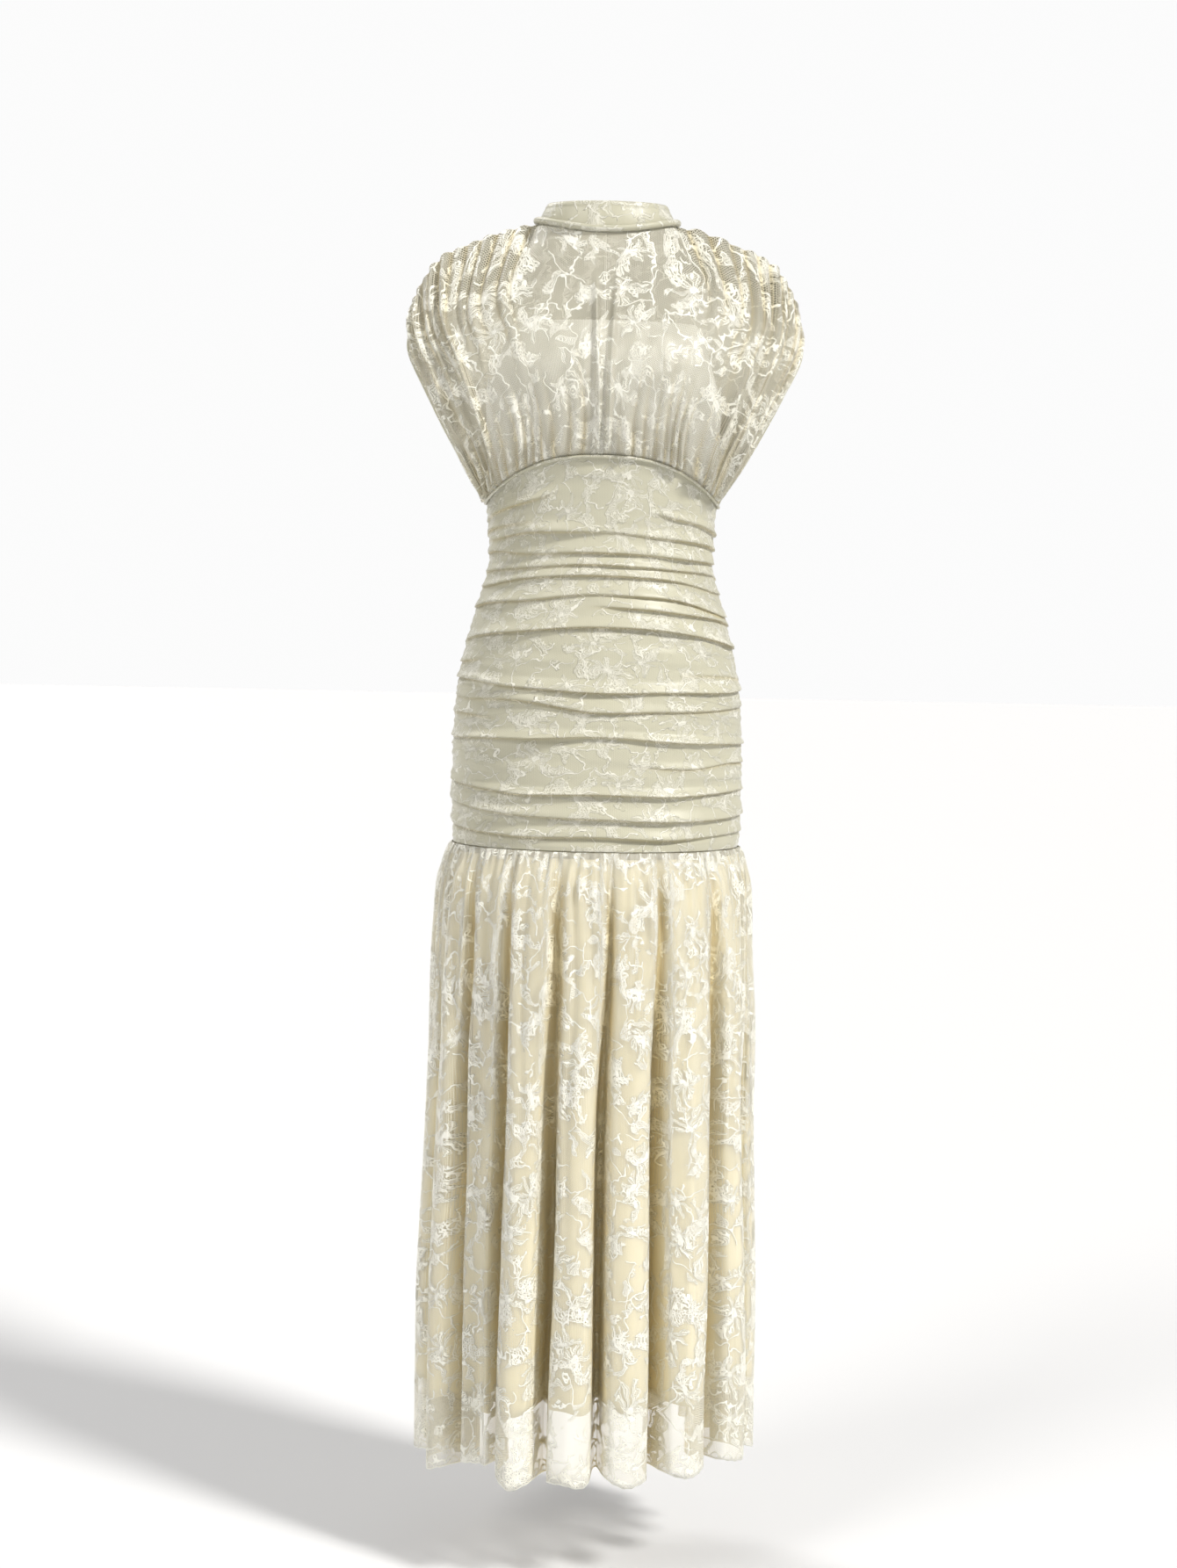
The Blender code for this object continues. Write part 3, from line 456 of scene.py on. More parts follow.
    corded = larger(tree, larger(tree, vine, rim), larger(tree, leafRim, heart))
    corded = larger(tree, corded, edging)
    petalFill = calc(tree, "MULTIPLY_ADD", rib, 0.45, times(tree, blossom, 0.25))
    leafFill = calc(tree, "MULTIPLY_ADD", vein, 0.5, times(tree, leaf, 0.25))
    filled = larger(tree, petalFill, leafFill)
    motif = larger(tree, larger(tree, corded, filled), times(tree, seeded, 0.65))
    cover = larger(tree, fadeBetween(tree, motif, 0.1, 0.55), net)
    height = calc(tree, "MULTIPLY_ADD", net, 0.10, motif)
    out = tree.nodes.new("NodeGroupOutput")
    for name, value in (("motif", motif), ("cover", cover), ("height", height)):
        tree.interface.new_socket(name, in_out="OUTPUT", socket_type="NodeSocketFloat")
        tree.links.new(value, out.inputs[name])
    return tree


floralLace = lacePattern()


def newMaterial(name):
    material = bpy.data.materials.new(name)
    material.use_nodes = True
    return material, material.node_tree, material.node_tree.nodes["Principled BSDF"]


def mixColours(tree, share, low, high, blend="MIX"):
    node = tree.nodes.new("ShaderNodeMix")
    node.data_type = "RGBA"
    node.blend_type = blend
    tree.links.new(share, node.inputs["Factor"])
    feed(tree, (node.inputs["A"], node.inputs["B"]), (low, high))
    return node.outputs["Result"]


# painted shade: darkens and yellows a colour in the valleys of folds, by the shade mask kept on the mesh
def paintShadeInFolds(tree, colour):
    foldShade = tree.nodes.new("ShaderNodeAttribute")
    foldShade.attribute_name = "foldShade"
    return mixColours(tree, foldShade.outputs["Fac"], colour, foldShadeColour, "MULTIPLY")


def addRelief(tree, shader, height, distance, strength=1.0):
    bump = tree.nodes.new("ShaderNodeBump")
    bump.inputs["Strength"].default_value = strength
    bump.inputs["Distance"].default_value = distance
    tree.links.new(height, bump.inputs["Height"])
    tree.links.new(bump.outputs[0], shader.inputs["Normal"])


def laceLook(name, colours):
    # the holes show the backing colour, or are open, or partly closed by a second layer
    material, tree, shader = newMaterial(name)
    pattern = tree.nodes.new("ShaderNodeGroup")
    pattern.node_tree = floralLace
    colour = mixColours(tree, pattern.outputs["motif"], colours["net"], colours["thread"])
    lined = "backing" in colours
    if lined:
        colour = mixColours(tree, pattern.outputs["cover"], colours["backing"], colour)
    else:
        closed = colours["closed"]
        solid = calc(tree, "MULTIPLY_ADD", pattern.outputs["cover"], 1 - closed, closed)
        tree.links.new(solid, shader.inputs["Alpha"])
    tree.links.new(paintShadeInFolds(tree, colour), shader.inputs["Base Color"])
    shader.inputs["Roughness"].default_value = lace["linedRoughness" if lined else "roughness"]
    shader.inputs["Sheen Weight"].default_value = 0.12
    shader.inputs["Sheen Roughness"].default_value = 0.4
    addRelief(tree, shader, pattern.outputs["height"], lace["linedRelief" if lined else "relief"], 0.7)
    return {"material": material, "slot": "ivory_lace"}


satin = {
    "colour": (0.95, 0.87, 0.61, 1),
    "shadeColour": (0.92, 0.82, 0.53, 1),
    "bustColour": (0.99, 0.985, 0.93, 1),
    "bustShadeColour": (0.98, 0.97, 0.90, 1),
    "patch": 0.05,           # size of its unevenness in colour
    "knitPitch": 0.0009,
    "roughness": 0.42,
}


def smoothLook(name, colour, shadeColour):
    material, tree, shader = newMaterial(name)
    place = clothPlace(tree)
    patch = noise(tree, place, satin["patch"], 2)
    tree.links.new(paintShadeInFolds(tree, mixColours(tree, patch, shadeColour, colour)), shader.inputs["Base Color"])
    x, y, _ = parts(tree, place)
    rate = 2 * pi / satin["knitPitch"]
    rows = calc(tree, "SINE", times(tree, y, rate))
    wales = calc(tree, "SINE", times(tree, x, rate))
    addRelief(tree, shader, times(tree, rows, wales), 0.00006, 0.6)
    shader.inputs["Roughness"].default_value = satin["roughness"]
    shader.inputs["Sheen Weight"].default_value = 0.2
    return {"material": material, "slot": "ivory_lining"}


sheerLook = laceLook("sheerLace", sheerColours)
gatheredShadedLook = laceLook("gatheredLaceWithPaintedShade", gatheredShadedColours)
backShadedLook = laceLook("backLaceWithPaintedShade", backShadedColours)
linedLook = laceLook("linedLace", linedColours)
liningLook = smoothLook("skirtLining", satin["colour"], satin["shadeColour"])
bustLook = smoothLook("bustLining", satin["bustColour"], satin["bustShadeColour"])


zipMetal = {"colour": (0.56, 0.54, 0.47, 1), "brushPitch": 0.00025, "roughness": 0.3}


def metalMaterial():
    material, tree, shader = newMaterial("brushedZipMetal")
    place = tree.nodes.new("ShaderNodeTexCoord").outputs["Object"]
    stretched = vectorCalc(tree, "MULTIPLY", place, (1, 0.2, 0.15)).outputs[0]
    grain = noise(tree, stretched, zipMetal["brushPitch"], 2)
    wear = noise(tree, place, 0.004, 3)
    dark = tuple(0.8 * channel for channel in zipMetal["colour"][:3]) + (1,)
    tree.links.new(mixColours(tree, wear, dark, zipMetal["colour"]), shader.inputs["Base Color"])
    rough = calc(tree, "MULTIPLY_ADD", grain, 0.2, zipMetal["roughness"] - 0.08)
    tree.links.new(rough, shader.inputs["Roughness"])
    shader.inputs["Metallic"].default_value = 1
    addRelief(tree, shader, grain, 0.00002, 0.5)
    return material


brushedMetal = metalMaterial()
for node in ("zip_slider", "zip_pull"):
    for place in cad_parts[node].material_slots:
        place.material = brushedMetal
print("materials made")


# Collar and its padded piping
collar = {
    "topHalfWidth": 0.0680,
    "topFront": 0.0585,
    "topBack": 0.0540,
    "topFrontZ": 0.030,
    "topBackZ": 0.038,
    "bandDepth": 0.0060,     # folded top band
    "bandHeight": 0.0007,
    "bow": 0.0016,           # how far its middle stands out
    "pipingRadius": 0.0034,
    "wall": 0.0012,
}


def collarTop(angle):
    depth = np.where(np.cos(angle) >= 0, collar["topFront"], collar["topBack"])
    middle = (collar["topFrontZ"] + collar["topBackZ"]) / 2
    z = middle + (collar["topFrontZ"] - middle) * np.cos(angle)
    return np.stack([collar["topHalfWidth"] * np.sin(angle), -depth * np.cos(angle), z], axis=-1)


def makeCollar():
    angles = np.linspace(-pi, pi, 201)
    low, high = neckSeam(angles), collarTop(angles)
    down = np.linspace(0, 1, 21)[:, None]
    points = high + (low - high) * down[..., None]
    fallen = down * np.linalg.norm(low - high, axis=1)
    out = without(outwards(points), 2)
    puff = collar["bow"] * np.sin(pi * down) * (0.8 + 0.3 * wander(angles * 2.5, down * 1.5, 61))
    band = collar["bandHeight"] * ease((collar["bandDepth"] - fallen) / 0.0008) * ease(fallen / 0.001)
    stitches = 0.00025 * wander(angles / 0.045, down * 3, 62) * ease((collar["bandDepth"] - fallen) / 0.004)
    points += (puff + band + stitches)[..., None] * out
    points[-1, :, 2] += halfGap
    points[:, 0, 0], points[:, -1, 0] = -halfGap, halfGap
    up = unit(high - low)
    aside = unit(np.cross(np.gradient(low, axis=0), up))
    radius = collar["pipingRadius"]
    route = low + (radius + 2 * halfGap) * (0.8 * up + aside)
    route[0, 0], route[-1, 0] = -trimGap, trimGap
    piping = makeTrim("collarFootPiping", "neck_piping", route, radius, linedLook, 14,
                      unevenness=0.035, seed=63)
    makeCloth("standCollar", "collar", points, linedLook, collar["wall"], (2.0, 1.0))


makeCollar()
print("collar made")

# Bodice: gathered into the shoulders and into the arched underbust seam
bodice = {
    "wall": 0.0006,
    "neckShare": 0.375,      # share of the top edge, from centre to armhole, that is neckline
    "armholeFoot": 84,       # degrees round the underbust seam
    "shoulderFolds": 12,     # for each shoulder
    "shoulderHeight": 0.0105,
    "underbustFolds": 15,    # for each side
    "underbustHeight": 0.0105,
    "centreFold": 0.0066,    # height of the two upright folds at the centre front
    "centreFoldAt": 0.034,
    "centreFoldWidth": 0.0135,
    "centreFoldTop": 0.16,
    "hangingFolds": (0.70, 0.80, 0.885, 0.95),
    "hangingWidth": 0.019,
    "hangingHeight": 0.0080,
    "gatherShade": 0.85,       # strength of the painted shade in the valleys of its gathers
    "bindingRadius": 0.0017,
    "bindingLift": 0.0040,
    "bustX": 0.078,
    "bustZ": -0.168,
    "bustReach": 0.012,
    "bustSpread": 0.048,
}

bodiceFront = {
    "down": [0.2, 0.4, 0.6, 0.8],
    "edgeX": [0.2235, 0.2040, 0.1830, 0.1600],
    "edgeY": [0.0380, 0.0530, 0.0520, 0.0370],
    "edgeZ": [-0.1400, -0.1834, -0.2251, -0.2668],
    "centreY": [0.0900, 0.1170, 0.1290, 0.1250],
    "centreZ": [-0.0600, -0.1120, -0.1600, -0.2120],
    "fullness": [1.6, 2.0, 2.4, 2.4],
}

bodiceBack = bodiceFront | {
    "edgeY": [0.0360, 0.0500, 0.0480, 0.0340],
    "centreY": [0.0830, 0.0980, 0.1020, 0.0980],
    "centreZ": [-0.0500, -0.1150, -0.1750, -0.2370],
}

shoulder = {
    "x": [0.0800, 0.1170, 0.1500, 0.1830, 0.2050, 0.2180, 0.2245],
    "z": [0.0100, 0.0010, -0.0110, -0.0260, -0.0470, -0.0700, -0.1000],
}


def bodiceTop(across, facing):
    share = np.abs(across)
    turn = pi / 2 * np.clip(share / bodice["neckShare"], 0, 1)
    edge = neckSeam(turn if facing > 0 else pi - turn)
    line = np.stack([shoulder["x"], np.zeros(len(shoulder["x"])), shoulder["z"]], axis=-1)
    along = lengthAlong(line)
    out = np.clip((share - bodice["neckShare"]) / (1 - bodice["neckShare"]), 0, 1)
    edge = np.where((share <= bodice["neckShare"])[:, None], edge, curveThrough(out * along[-1], along, line))
    edge[:, 0] *= np.sign(across)
    return edge


def bodiceRow(rows, k, across, facing):
    share = np.abs(across)
    s = 0.5 * share + 0.5 * np.sin(pi / 2 * share)
    fullness = rows["fullness"][k]
    full = np.clip(1 - s**fullness, 0, 1) ** (1 / fullness)
    depth = rows["edgeY"][k] + (rows["centreY"][k] - rows["edgeY"][k]) * full
    z = rows["centreZ"][k] + (rows["edgeZ"][k] - rows["centreZ"][k]) * s ** underbust["arch"]
    return np.stack([np.sign(across) * rows["edgeX"][k] * s, -facing * depth, z], axis=-1)


def bodiceBase(across, down, facing):
    rows = bodiceFront if facing > 0 else bodiceBack
    foot = radians(bodice["armholeFoot"]) * across
    stations = [bodiceTop(across, facing)]
    stations += [bodiceRow(rows, k, across, facing) for k in range(len(rows["down"]))]
    stations.append(underbustSeam(foot if facing > 0 else pi - foot))
    grid = curveThrough(down, [0, *rows["down"], 1], np.array(stations))
    if facing > 0:
        swell = bell(np.abs(grid[..., 0]) - bodice["bustX"], bodice["bustSpread"])
        swell *= bell(grid[..., 2] - bodice["bustZ"], bodice["bustSpread"])
        grid[..., 1] -= bodice["bustReach"] * swell * np.sin(pi * down)[:, None]
    return grid


def bodiceFolds(across, down, facing):
    # how far the cloth stands out in its gathers, and a mask of painted shade for the valleys between them
    share, side = np.abs(across)[None, :], np.where(across < 0, 40, 20)[None, :]
    down = down[:, None]
    start = bodice["neckShare"] - 0.02
    place = bodice["shoulderFolds"] * (share - start) / (1 - start) + side
    place = place + 0.9 * wander(share * 5 + side, down * 1.7, 71)
    height, tall, far = tubes(place, 72, 1.1)
    reach = 0.35 + 0.75 * far + 0.45 * ease((share - 0.72) / 0.2)
    fromShoulder = bodice["shoulderHeight"] * (0.2 + 0.8 * tall) * (1 - ease(down / reach))
    fromShoulder = height * fromShoulder * ease((share - start) / 0.06) * (0.55 + 0.45 * ease(down / 0.06))
    # painted shade in the valleys of the shoulder gathers
    gatherShade = (1 - height) ** 2 * (1 - ease(down / reach)) * ease((share - start) / 0.06)

    place = bodice["underbustFolds"] * share + side + 0.85 * wander(share * 6 + side, down * 2.3, 74)
    height, tall, far = tubes(place, 75, 1.2)
    begin = 0.30 + 0.42 * far
    fromUnderbust = bodice["underbustHeight"] * (0.25 + 0.75 * tall) * ease((down - begin) / (1 - begin))
    fromUnderbust = height * fromUnderbust * ease((share - 0.06) / 0.04)
    # painted shade in the valleys of the underbust gathers
    foot = (1 - height) ** 2 * ease((down - begin) / (1 - begin)) * ease((share - 0.06) / 0.04)
    gatherShade = np.clip(gatherShade + foot, 0, 1)

    # long folds that hang beside the armhole
    hanging = np.zeros(height.shape)
    for k, at in enumerate(bodice["hangingFolds"]):
        line = at + 0.018 * wander(down * 2.5, side + 3 * k, 79)
        uneven = 0.8 + 0.3 * wander(down * 3, side + k, 80)
        hanging += bell(share - line, bodice["hangingWidth"]) * uneven
    hanging *= bodice["hangingHeight"] * ease(down / 0.15) * ease((1 - down) / 0.2)

    upright = 0
    if facing > 0:
        lean = bodice["centreFoldAt"] * (0.75 + 0.6 * (1 - down)) + 0.004 * wander(down * 4, side, 77)
        upright = bell(share - lean, bodice["centreFoldWidth"]) * bodice["centreFold"]
        upright = upright * ease((down - bodice["centreFoldTop"]) / 0.18)
    drape = 0.0012 * wander(share * 14 + side, down * 6, 78)
    edge = ease((1 - share) / 0.035)
    seam = ease((1 - down) / 0.035)
    fallen = fromUnderbust + upright + hanging + drape * ease(down / 0.1)
    return (fromShoulder + fallen * ease(down / 0.05)) * edge * seam, bodice["gatherShade"] * gatherShade


def bodicePoints(across, down, facing):
    base = bodiceBase(across, down, facing)
    normals = facing * outwards(base)
    normals[0] = without(normals[0], 1)
    height, gatherShade = bodiceFolds(across, down, facing)
    points = base + height[..., None] * normals
    onShoulder = np.abs(across) > bodice["neckShare"]
    points[0, :, 1] -= facing * halfGap * onShoulder
    points[0, :, 2] -= halfGap * ~onShoulder
    points[-1, :, 2] += halfGap
    return points, gatherShade


def armholeRoute(side, facing, down):
    across = side * (1 - np.array([1, 0]) * 0.05)
    grid = bodiceBase(across, down, facing)
    if side < 0:
        grid = grid[:, ::-1]
    normals = facing * outwards(grid)
    edge = -1 if side > 0 else 0
    away = unit(side * (grid[:, 1] - grid[:, 0]))
    away[0] = without(away[:1], 1)[0]
    line = grid[:, edge] - bodice["wall"] / 2 * normals[:, edge]
    line[-1] += (line[-2] - line[-1]) * bodice["bindingLift"] / (line[-2][2] - line[-1][2])
    return line + (bodice["bindingRadius"] + 2 * halfGap) * away


def makeBodice():
    down = np.linspace(0, 1, 101)
    routeDown = np.concatenate([np.linspace(0, 0.97, 70), [1]])
    for name, side in (("left", 1), ("right", -1)):
        route = [*armholeRoute(side, 1, routeDown), *armholeRoute(side, -1, routeDown)[:0:-1]]
        makeTrim(
            f"armholeBinding{name.title()}", f"armhole_binding_{name}", route, bodice["bindingRadius"],
            linedLook, 10, closed=True, unevenness=0.10, seed=81 + side,
        )
    front, gatherShade = bodicePoints(np.linspace(-1, 1, 321), down, 1)
    makeCloth("bodiceFrontLace", "bodice_front", front, gatheredShadedLook, bodice["wall"], (0.0, 1.0), 0.3,
              area=0.8, foldShade=gatherShade)
    for name, side in (("left", 1), ("right", -1)):
        across = np.linspace(0, 1, 161) * side
        back, gatherShade = bodicePoints(across if side > 0 else across[::-1], down, -1)
        back, gatherShade = back[:, ::-1], gatherShade[:, ::-1]
        back[:, -1 if side > 0 else 0, 0] = side * halfGap
        makeCloth(f"bodiceBackLace{name.title()}", f"bodice_back_{name}", back, backShadedLook, bodice["wall"],
                  (0.6 + side * 0.3, 1.0), 0.3, area=0.8, foldShade=gatherShade)


makeBodice()
print("bodice made")

# Bust lining: a close bandeau with a straight top edge in front
bandeau = {
    "z": [-0.300, -0.255, -0.200, -0.150, -0.105],
    "halfWidth": [0.1310, 0.1335, 0.1370, 0.1380, 0.1350],
    "front": [0.0970, 0.1040, 0.1150, 0.1160, 0.1010],
    "back": [0.0800, 0.0820, 0.0870, 0.0890, 0.0860],
    "topZ": -0.1085,
    "sideZ": -0.185,
    "flatHalfWidth": 0.100,
    "wall": 0.0009,
    "hem": 0.0030,           # turned edge along the top
    "seamInset": 0.0018,     # under the lace at the underbust seam
}


def makeBandeau(name, node, angles, seed, opening=0):
    topWidth = np.abs(ring(bandeau, angles, np.full(angles.shape, bandeau["topZ"]))[:, 0])
    fall = np.where(np.cos(angles) > 0, ease((topWidth - bandeau["flatHalfWidth"]) / 0.033), 1)
    top = bandeau["topZ"] + (bandeau["sideZ"] - bandeau["topZ"]) * fall
    down = np.linspace(0, 1, 41)[:, None]
    z = top + down * (underbustZ(angles) + halfGap - top)
    points = ring(bandeau, np.broadcast_to(angles, z.shape), z)
    out = without(outwards(points), 2)
    seam = underbustSeam(angles)
    seam = seam - bandeau["seamInset"] * without(outwards(np.array([points[0], seam]))[1], 2)
    points = points + (seam - points[-1]) * ease((down - 0.86) / 0.14)[..., None]
    fallen = top - z
    edge = 0.0005 * ease((bandeau["hem"] - fallen) / 0.0006)
    soft = 0.0006 * wander(angles * 6, down * 4, seed) * ease(down / 0.1) * ease((1 - down) / 0.1)
    points += (edge + soft)[..., None] * out
    for column in {0: (0, -1), 1: (0,), -1: (-1,)}[opening]:
        points[:, column, 1] = -halfGap if opening == 0 else halfGap
    if opening:
        points[:, -1 if opening > 0 else 0, 0] = opening * halfGap
    makeCloth(name, node, points, bustLook, bandeau["wall"], (seed * 0.1, 1.0), area=0.75)


backLeft = np.linspace(pi / 2, pi, 61)
makeBandeau("bustLiningFront", "bust_lining_front", np.linspace(-pi / 2, pi / 2, 121), 91)
makeBandeau("bustLiningBackLeft", "bust_lining_back_left", backLeft, 92, opening=1)
makeBandeau("bustLiningBackRight", "bust_lining_back_right", backLeft + pi / 2, 93, opening=-1)
print("bust lining made")

# Hip panel, ruched into the side seams. Folds stand at z on the right seam, the centre and the left
# seam. They run from seam to seam, or from start to stop, with the right seam at -1 and the left at 1.
hip = {
    "wall": 0.0016,
    "ruching": 1.35,         # cut length against worn length
    "above": (0.0032, 0.0088),   # soft upper side of a fold
    "below": 0.0022,         # tight under side
    "hollow": 0.0019,        # strength of the painted shade in the crease under a fold
    "hang": 0.55,            # how far a fold hangs down over its crease, against its height
    "tall": 1.5,             # times the heights below
    "tucked": 0.9,           # of the cloth in a crease, where 1 is cloth laid on cloth
    "fromSeamToSeam": (-1.2, 1.2),
    "puckerPitch": 0.0088,
    "puckerHeight": 0.0024,
    "pipingRadius": 0.0018,
    "pipingDrop": 0.0017,
}

frontFolds = [
    # right  centre  left  height  start  stop
    (-0.329, -0.292, -0.312, 0.0040, -1.2, -0.2),
    (-0.337, -0.314, -0.341, 0.0040, 0.25, 1.2),
    (-0.343, -0.330, -0.350, 0.0026, -1.2, -0.35),
    (-0.349, -0.346, -0.358, 0.0036),
    (-0.367, -0.364, -0.374, 0.0032),
    (-0.385, -0.379, -0.393, 0.0032),
    (-0.404, -0.393, -0.411, 0.0034),
    (-0.431, -0.412, -0.434, 0.0040),
    (-0.447, -0.427, -0.449, 0.0030, -0.1, 1.2),
    (-0.468, -0.448, -0.475, 0.0046),
    (-0.490, -0.482, -0.498, 0.0030, -1.2, -0.6),
    (-0.499, -0.500, -0.508, 0.0026, 0.35, 1.2),
    (-0.510, -0.521, -0.518, 0.0040),
    (-0.529, -0.540, -0.538, 0.0036),
    (-0.553, -0.556, -0.566, 0.0028, -1.2, -0.45),
    (-0.577, -0.574, -0.582, 0.0046),
    (-0.600, -0.604, -0.607, 0.0024, 0.1, 1.2),
    (-0.626, -0.639, -0.636, 0.0038),
    (-0.648, -0.664, -0.659, 0.0040),
    (-0.676, -0.689, -0.684, 0.0036),
]

backFolds = [
    # right  centre  left  height
    (-0.338, -0.330, -0.334, 0.0032),
    (-0.366, -0.354, -0.362, 0.0036),
    (-0.396, -0.388, -0.394, 0.0036),
    (-0.428, -0.420, -0.432, 0.0038),
    (-0.466, -0.460, -0.470, 0.0042),
    (-0.504, -0.500, -0.508, 0.0036),
    (-0.545, -0.552, -0.550, 0.0042),
    (-0.590, -0.598, -0.594, 0.0040),
    (-0.634, -0.644, -0.638, 0.0042),
    (-0.672, -0.682, -0.676, 0.0036),
]


def foldLift(folds, share, z, seed):
    # how far the folds stand out, and a mask of painted shade in the crease under each
    lift, tucked = np.zeros(z.shape), np.zeros(z.shape)
    soft = chance(seed + 2, *hip["above"])
    for k, (right, centre, left, height, *shownFrom) in enumerate(folds):
        start, stop = shownFrom or hip["fromSeamToSeam"]
        line = curveThrough(np.clip(share, -1, 1), [-1, 0, 1], [right, centre, left])
        line = line + 0.0042 * wander(share * 2.6, k * 1.7, seed)
        shown = ease((share - start) / 0.25) * ease((stop - share) / 0.25)
        shown = shown * (0.78 + 0.45 * wander(share * 3.4 + 7, k * 2.3, seed + 1))
        above = z - line
        rise = bell(above, np.where(above > 0, soft[k], hip["below"]))
        crease = bell(above + 1.9 * hip["below"], hip["below"])
        lift = np.maximum(lift, hip["tall"] * height * shown * rise) - hip["hollow"] * shown * crease
        # painted shade in the crease just under the fold
        creaseShadeBand = bell(above + 1.2 * hip["below"], hip["below"])
        tucked = np.maximum(tucked, np.clip(shown, 0, 1) * creaseShadeBand)
    return lift, tucked


def seamPuckers(share, z, seed):
    # short tight puckers that run in from a side seam, each with its own length
    side = np.where(share < 0, 0, 30)
    fan = (1 - np.abs(share)) * 2.4 * wander(-z / 0.045, side + 5, seed)
    place = -z / hip["puckerPitch"] + 0.6 * wander(-z / 0.03, side, seed) + fan + side
    height, tall, far = tubes(place, seed + 1)
    reach = 0.12 + 0.62 * far**2
    return hip["puckerHeight"] * (0.5 + 0.5 * tall) * height * ease((np.abs(share) - 1 + reach) / reach)


def hipPoints(angle, down, folds, seed):
    forward = np.cos(angle.mean()) > 0
    share = (angle if forward else pi - angle)[None, :] / (pi / 2)
    top = underbustZ(angle) - halfGap
    z = top + (hipSeamZ + halfGap - top) * down[:, None]
    share = np.broadcast_to(share, z.shape)
    base = ring(hipShape, angle, z)
    atSeam = ease((1 - np.abs(share)) / 0.10)
    edgeLift, _ = foldLift(frontFolds, np.sign(share + 1e-9), z, 101)
    lift, tucked = foldLift(folds, share, z, seed)
    lift = lift * atSeam + edgeLift * (1 - atSeam)
    lift = lift + seamPuckers(share, z, 105)
    lift = lift + 0.0011 * wander(share * 3 + z / 0.04, -z / 0.010, seed + 5)
    lift = lift * ease((top - z) / 0.010) * ease((z - hipSeamZ) / 0.007)
    lift = lift * (1 - 0.4 * ease((np.abs(share) - 0.8) / 0.2))
    points = base + lift[..., None] * without(outwards(base), 2)
    points[..., 2] -= hip["hang"] * np.clip(lift, 0, None) * ease((z - hipSeamZ) / 0.014)
    return points, hip["tucked"] * tucked * atSeam


def makeHip():
    down = np.linspace(0, 1, 321)
    line = underbustSeam(np.linspace(-pi, pi, 241)) - (0, 0, hip["pipingDrop"])
    step = np.gradient(line, axis=0)
    away = unit(np.stack([step[:, 1], -step[:, 0], 0 * step[:, 0]], axis=-1))
    route = line + (hip["pipingRadius"] + 2 * halfGap) * away
    route[0, 0], route[-1, 0] = -trimGap, trimGap
    piping = makeTrim("underbustPiping", "underbust_piping", route, hip["pipingRadius"], linedLook, 10,
                      unevenness=0.08, seed=111)
    front, tucked = hipPoints(np.linspace(-pi / 2, pi / 2, 103), down, frontFolds, 101)
    front[:, 0, 1] = front[:, -1, 1] = -halfGap
    makeCloth("hipFrontLace", "hip_front", front, linedLook, hip["wall"], (1.0, 1.4), 0.6,
              cut=(1, hip["ruching"]), area=0.86, foldShade=tucked)
    for name, side in (("left", 1), ("right", -1)):
        angles = np.linspace(pi / 2, pi, 52) + (pi / 2 if side < 0 else 0)
        back, tucked = hipPoints(angles, down, backFolds, 121)
        seam, centre = (0, -1) if side > 0 else (-1, 0)
        back[:, seam, 1] = halfGap
        back[:, centre, 0] = side * halfGap
        makeCloth(f"hipBackLace{name.title()}", f"hip_back_{name}", back, linedLook, hip["wall"],
                  (1.7 + 0.4 * side, 1.7), 0.6, cut=(1, hip["ruching"]), area=0.86, foldShade=tucked)


makeHip()
print("hip panel made")

# Skirt, gathered on to the hip panel, and its shorter lining
skirt = {
    "z": [-1.424, -1.368, -1.265, -1.162, -1.059, -0.956, -0.853, -0.801, -0.750, -0.724, -0.705],
    "halfWidth": [0.2065, 0.2065, 0.2060, 0.2030, 0.1980, 0.1936, 0.1885, 0.1850, 0.1790, 0.1735, 0.1680],
    "front": [0.1660, 0.1650, 0.1620, 0.1580, 0.1530, 0.1480, 0.1430, 0.1390, 0.1330, 0.1265, 0.1190],
    "back": [0.1710, 0.1700, 0.1680, 0.1630, 0.1580, 0.1520, 0.1470, 0.1430, 0.1370, 0.1300, 0.1230],
    "hemZ": -1.424,
    "liningHemZ": -1.340,
    "foldDepth": 0.052,      # from ridge to valley at the hem
    "crown": 0.24,           # share of it that rounds the crest of a fold
    "valleyWidth": 0.120,    # against the space between two crests
    "steepness": 3.0,        # of the walls of a valley
    "drift": 0.050,          # how far a fold wanders sideways, in radians
    "clothRound": {"hem": 0.42, "pleats": 0.15, "gathers": 0.143},   # metres for each radian
    "gatherPitch": 0.0086,
    "gatherHeight": 0.0050,
    "pleatPitch": 0.0210,    # middle folds in the upper half
    "pleatHeight": 0.0072,
    "valleyLift": 0.008,     # of the hem inside a fold
    "hemWave": 0.0035,
    "scallop": 0.0012,
    "scallopPitch": 0.0115,
    "wall": 0.0006,
    "liningInset": 0.0024,
    "liningWall": 0.0008,
}

skirtFolds = [
    # degrees  reach  hem
    (-104, 0.95, 0.000),
    (-83, 0.95, -0.004),
    (-61, 1.00, -0.010),
    (-41, 0.45, 0.004),
    (-24, 1.00, -0.006),
    (-3, 0.95, 0.000),
    (14, 0.95, -0.002),
    (36, 1.00, 0.002),
    (63, 1.00, 0.008),
    (84, 0.90, 0.004),
    (103, 0.95, 0.000),
    (123, 1.00, -0.004),
    (142, 0.90, 0.002),
    (160, 1.00, -0.003),
    (180, 0.85, 0.002),
    (199, 1.00, -0.004),
    (219, 0.95, 0.000),
    (237, 1.00, -0.003),
]


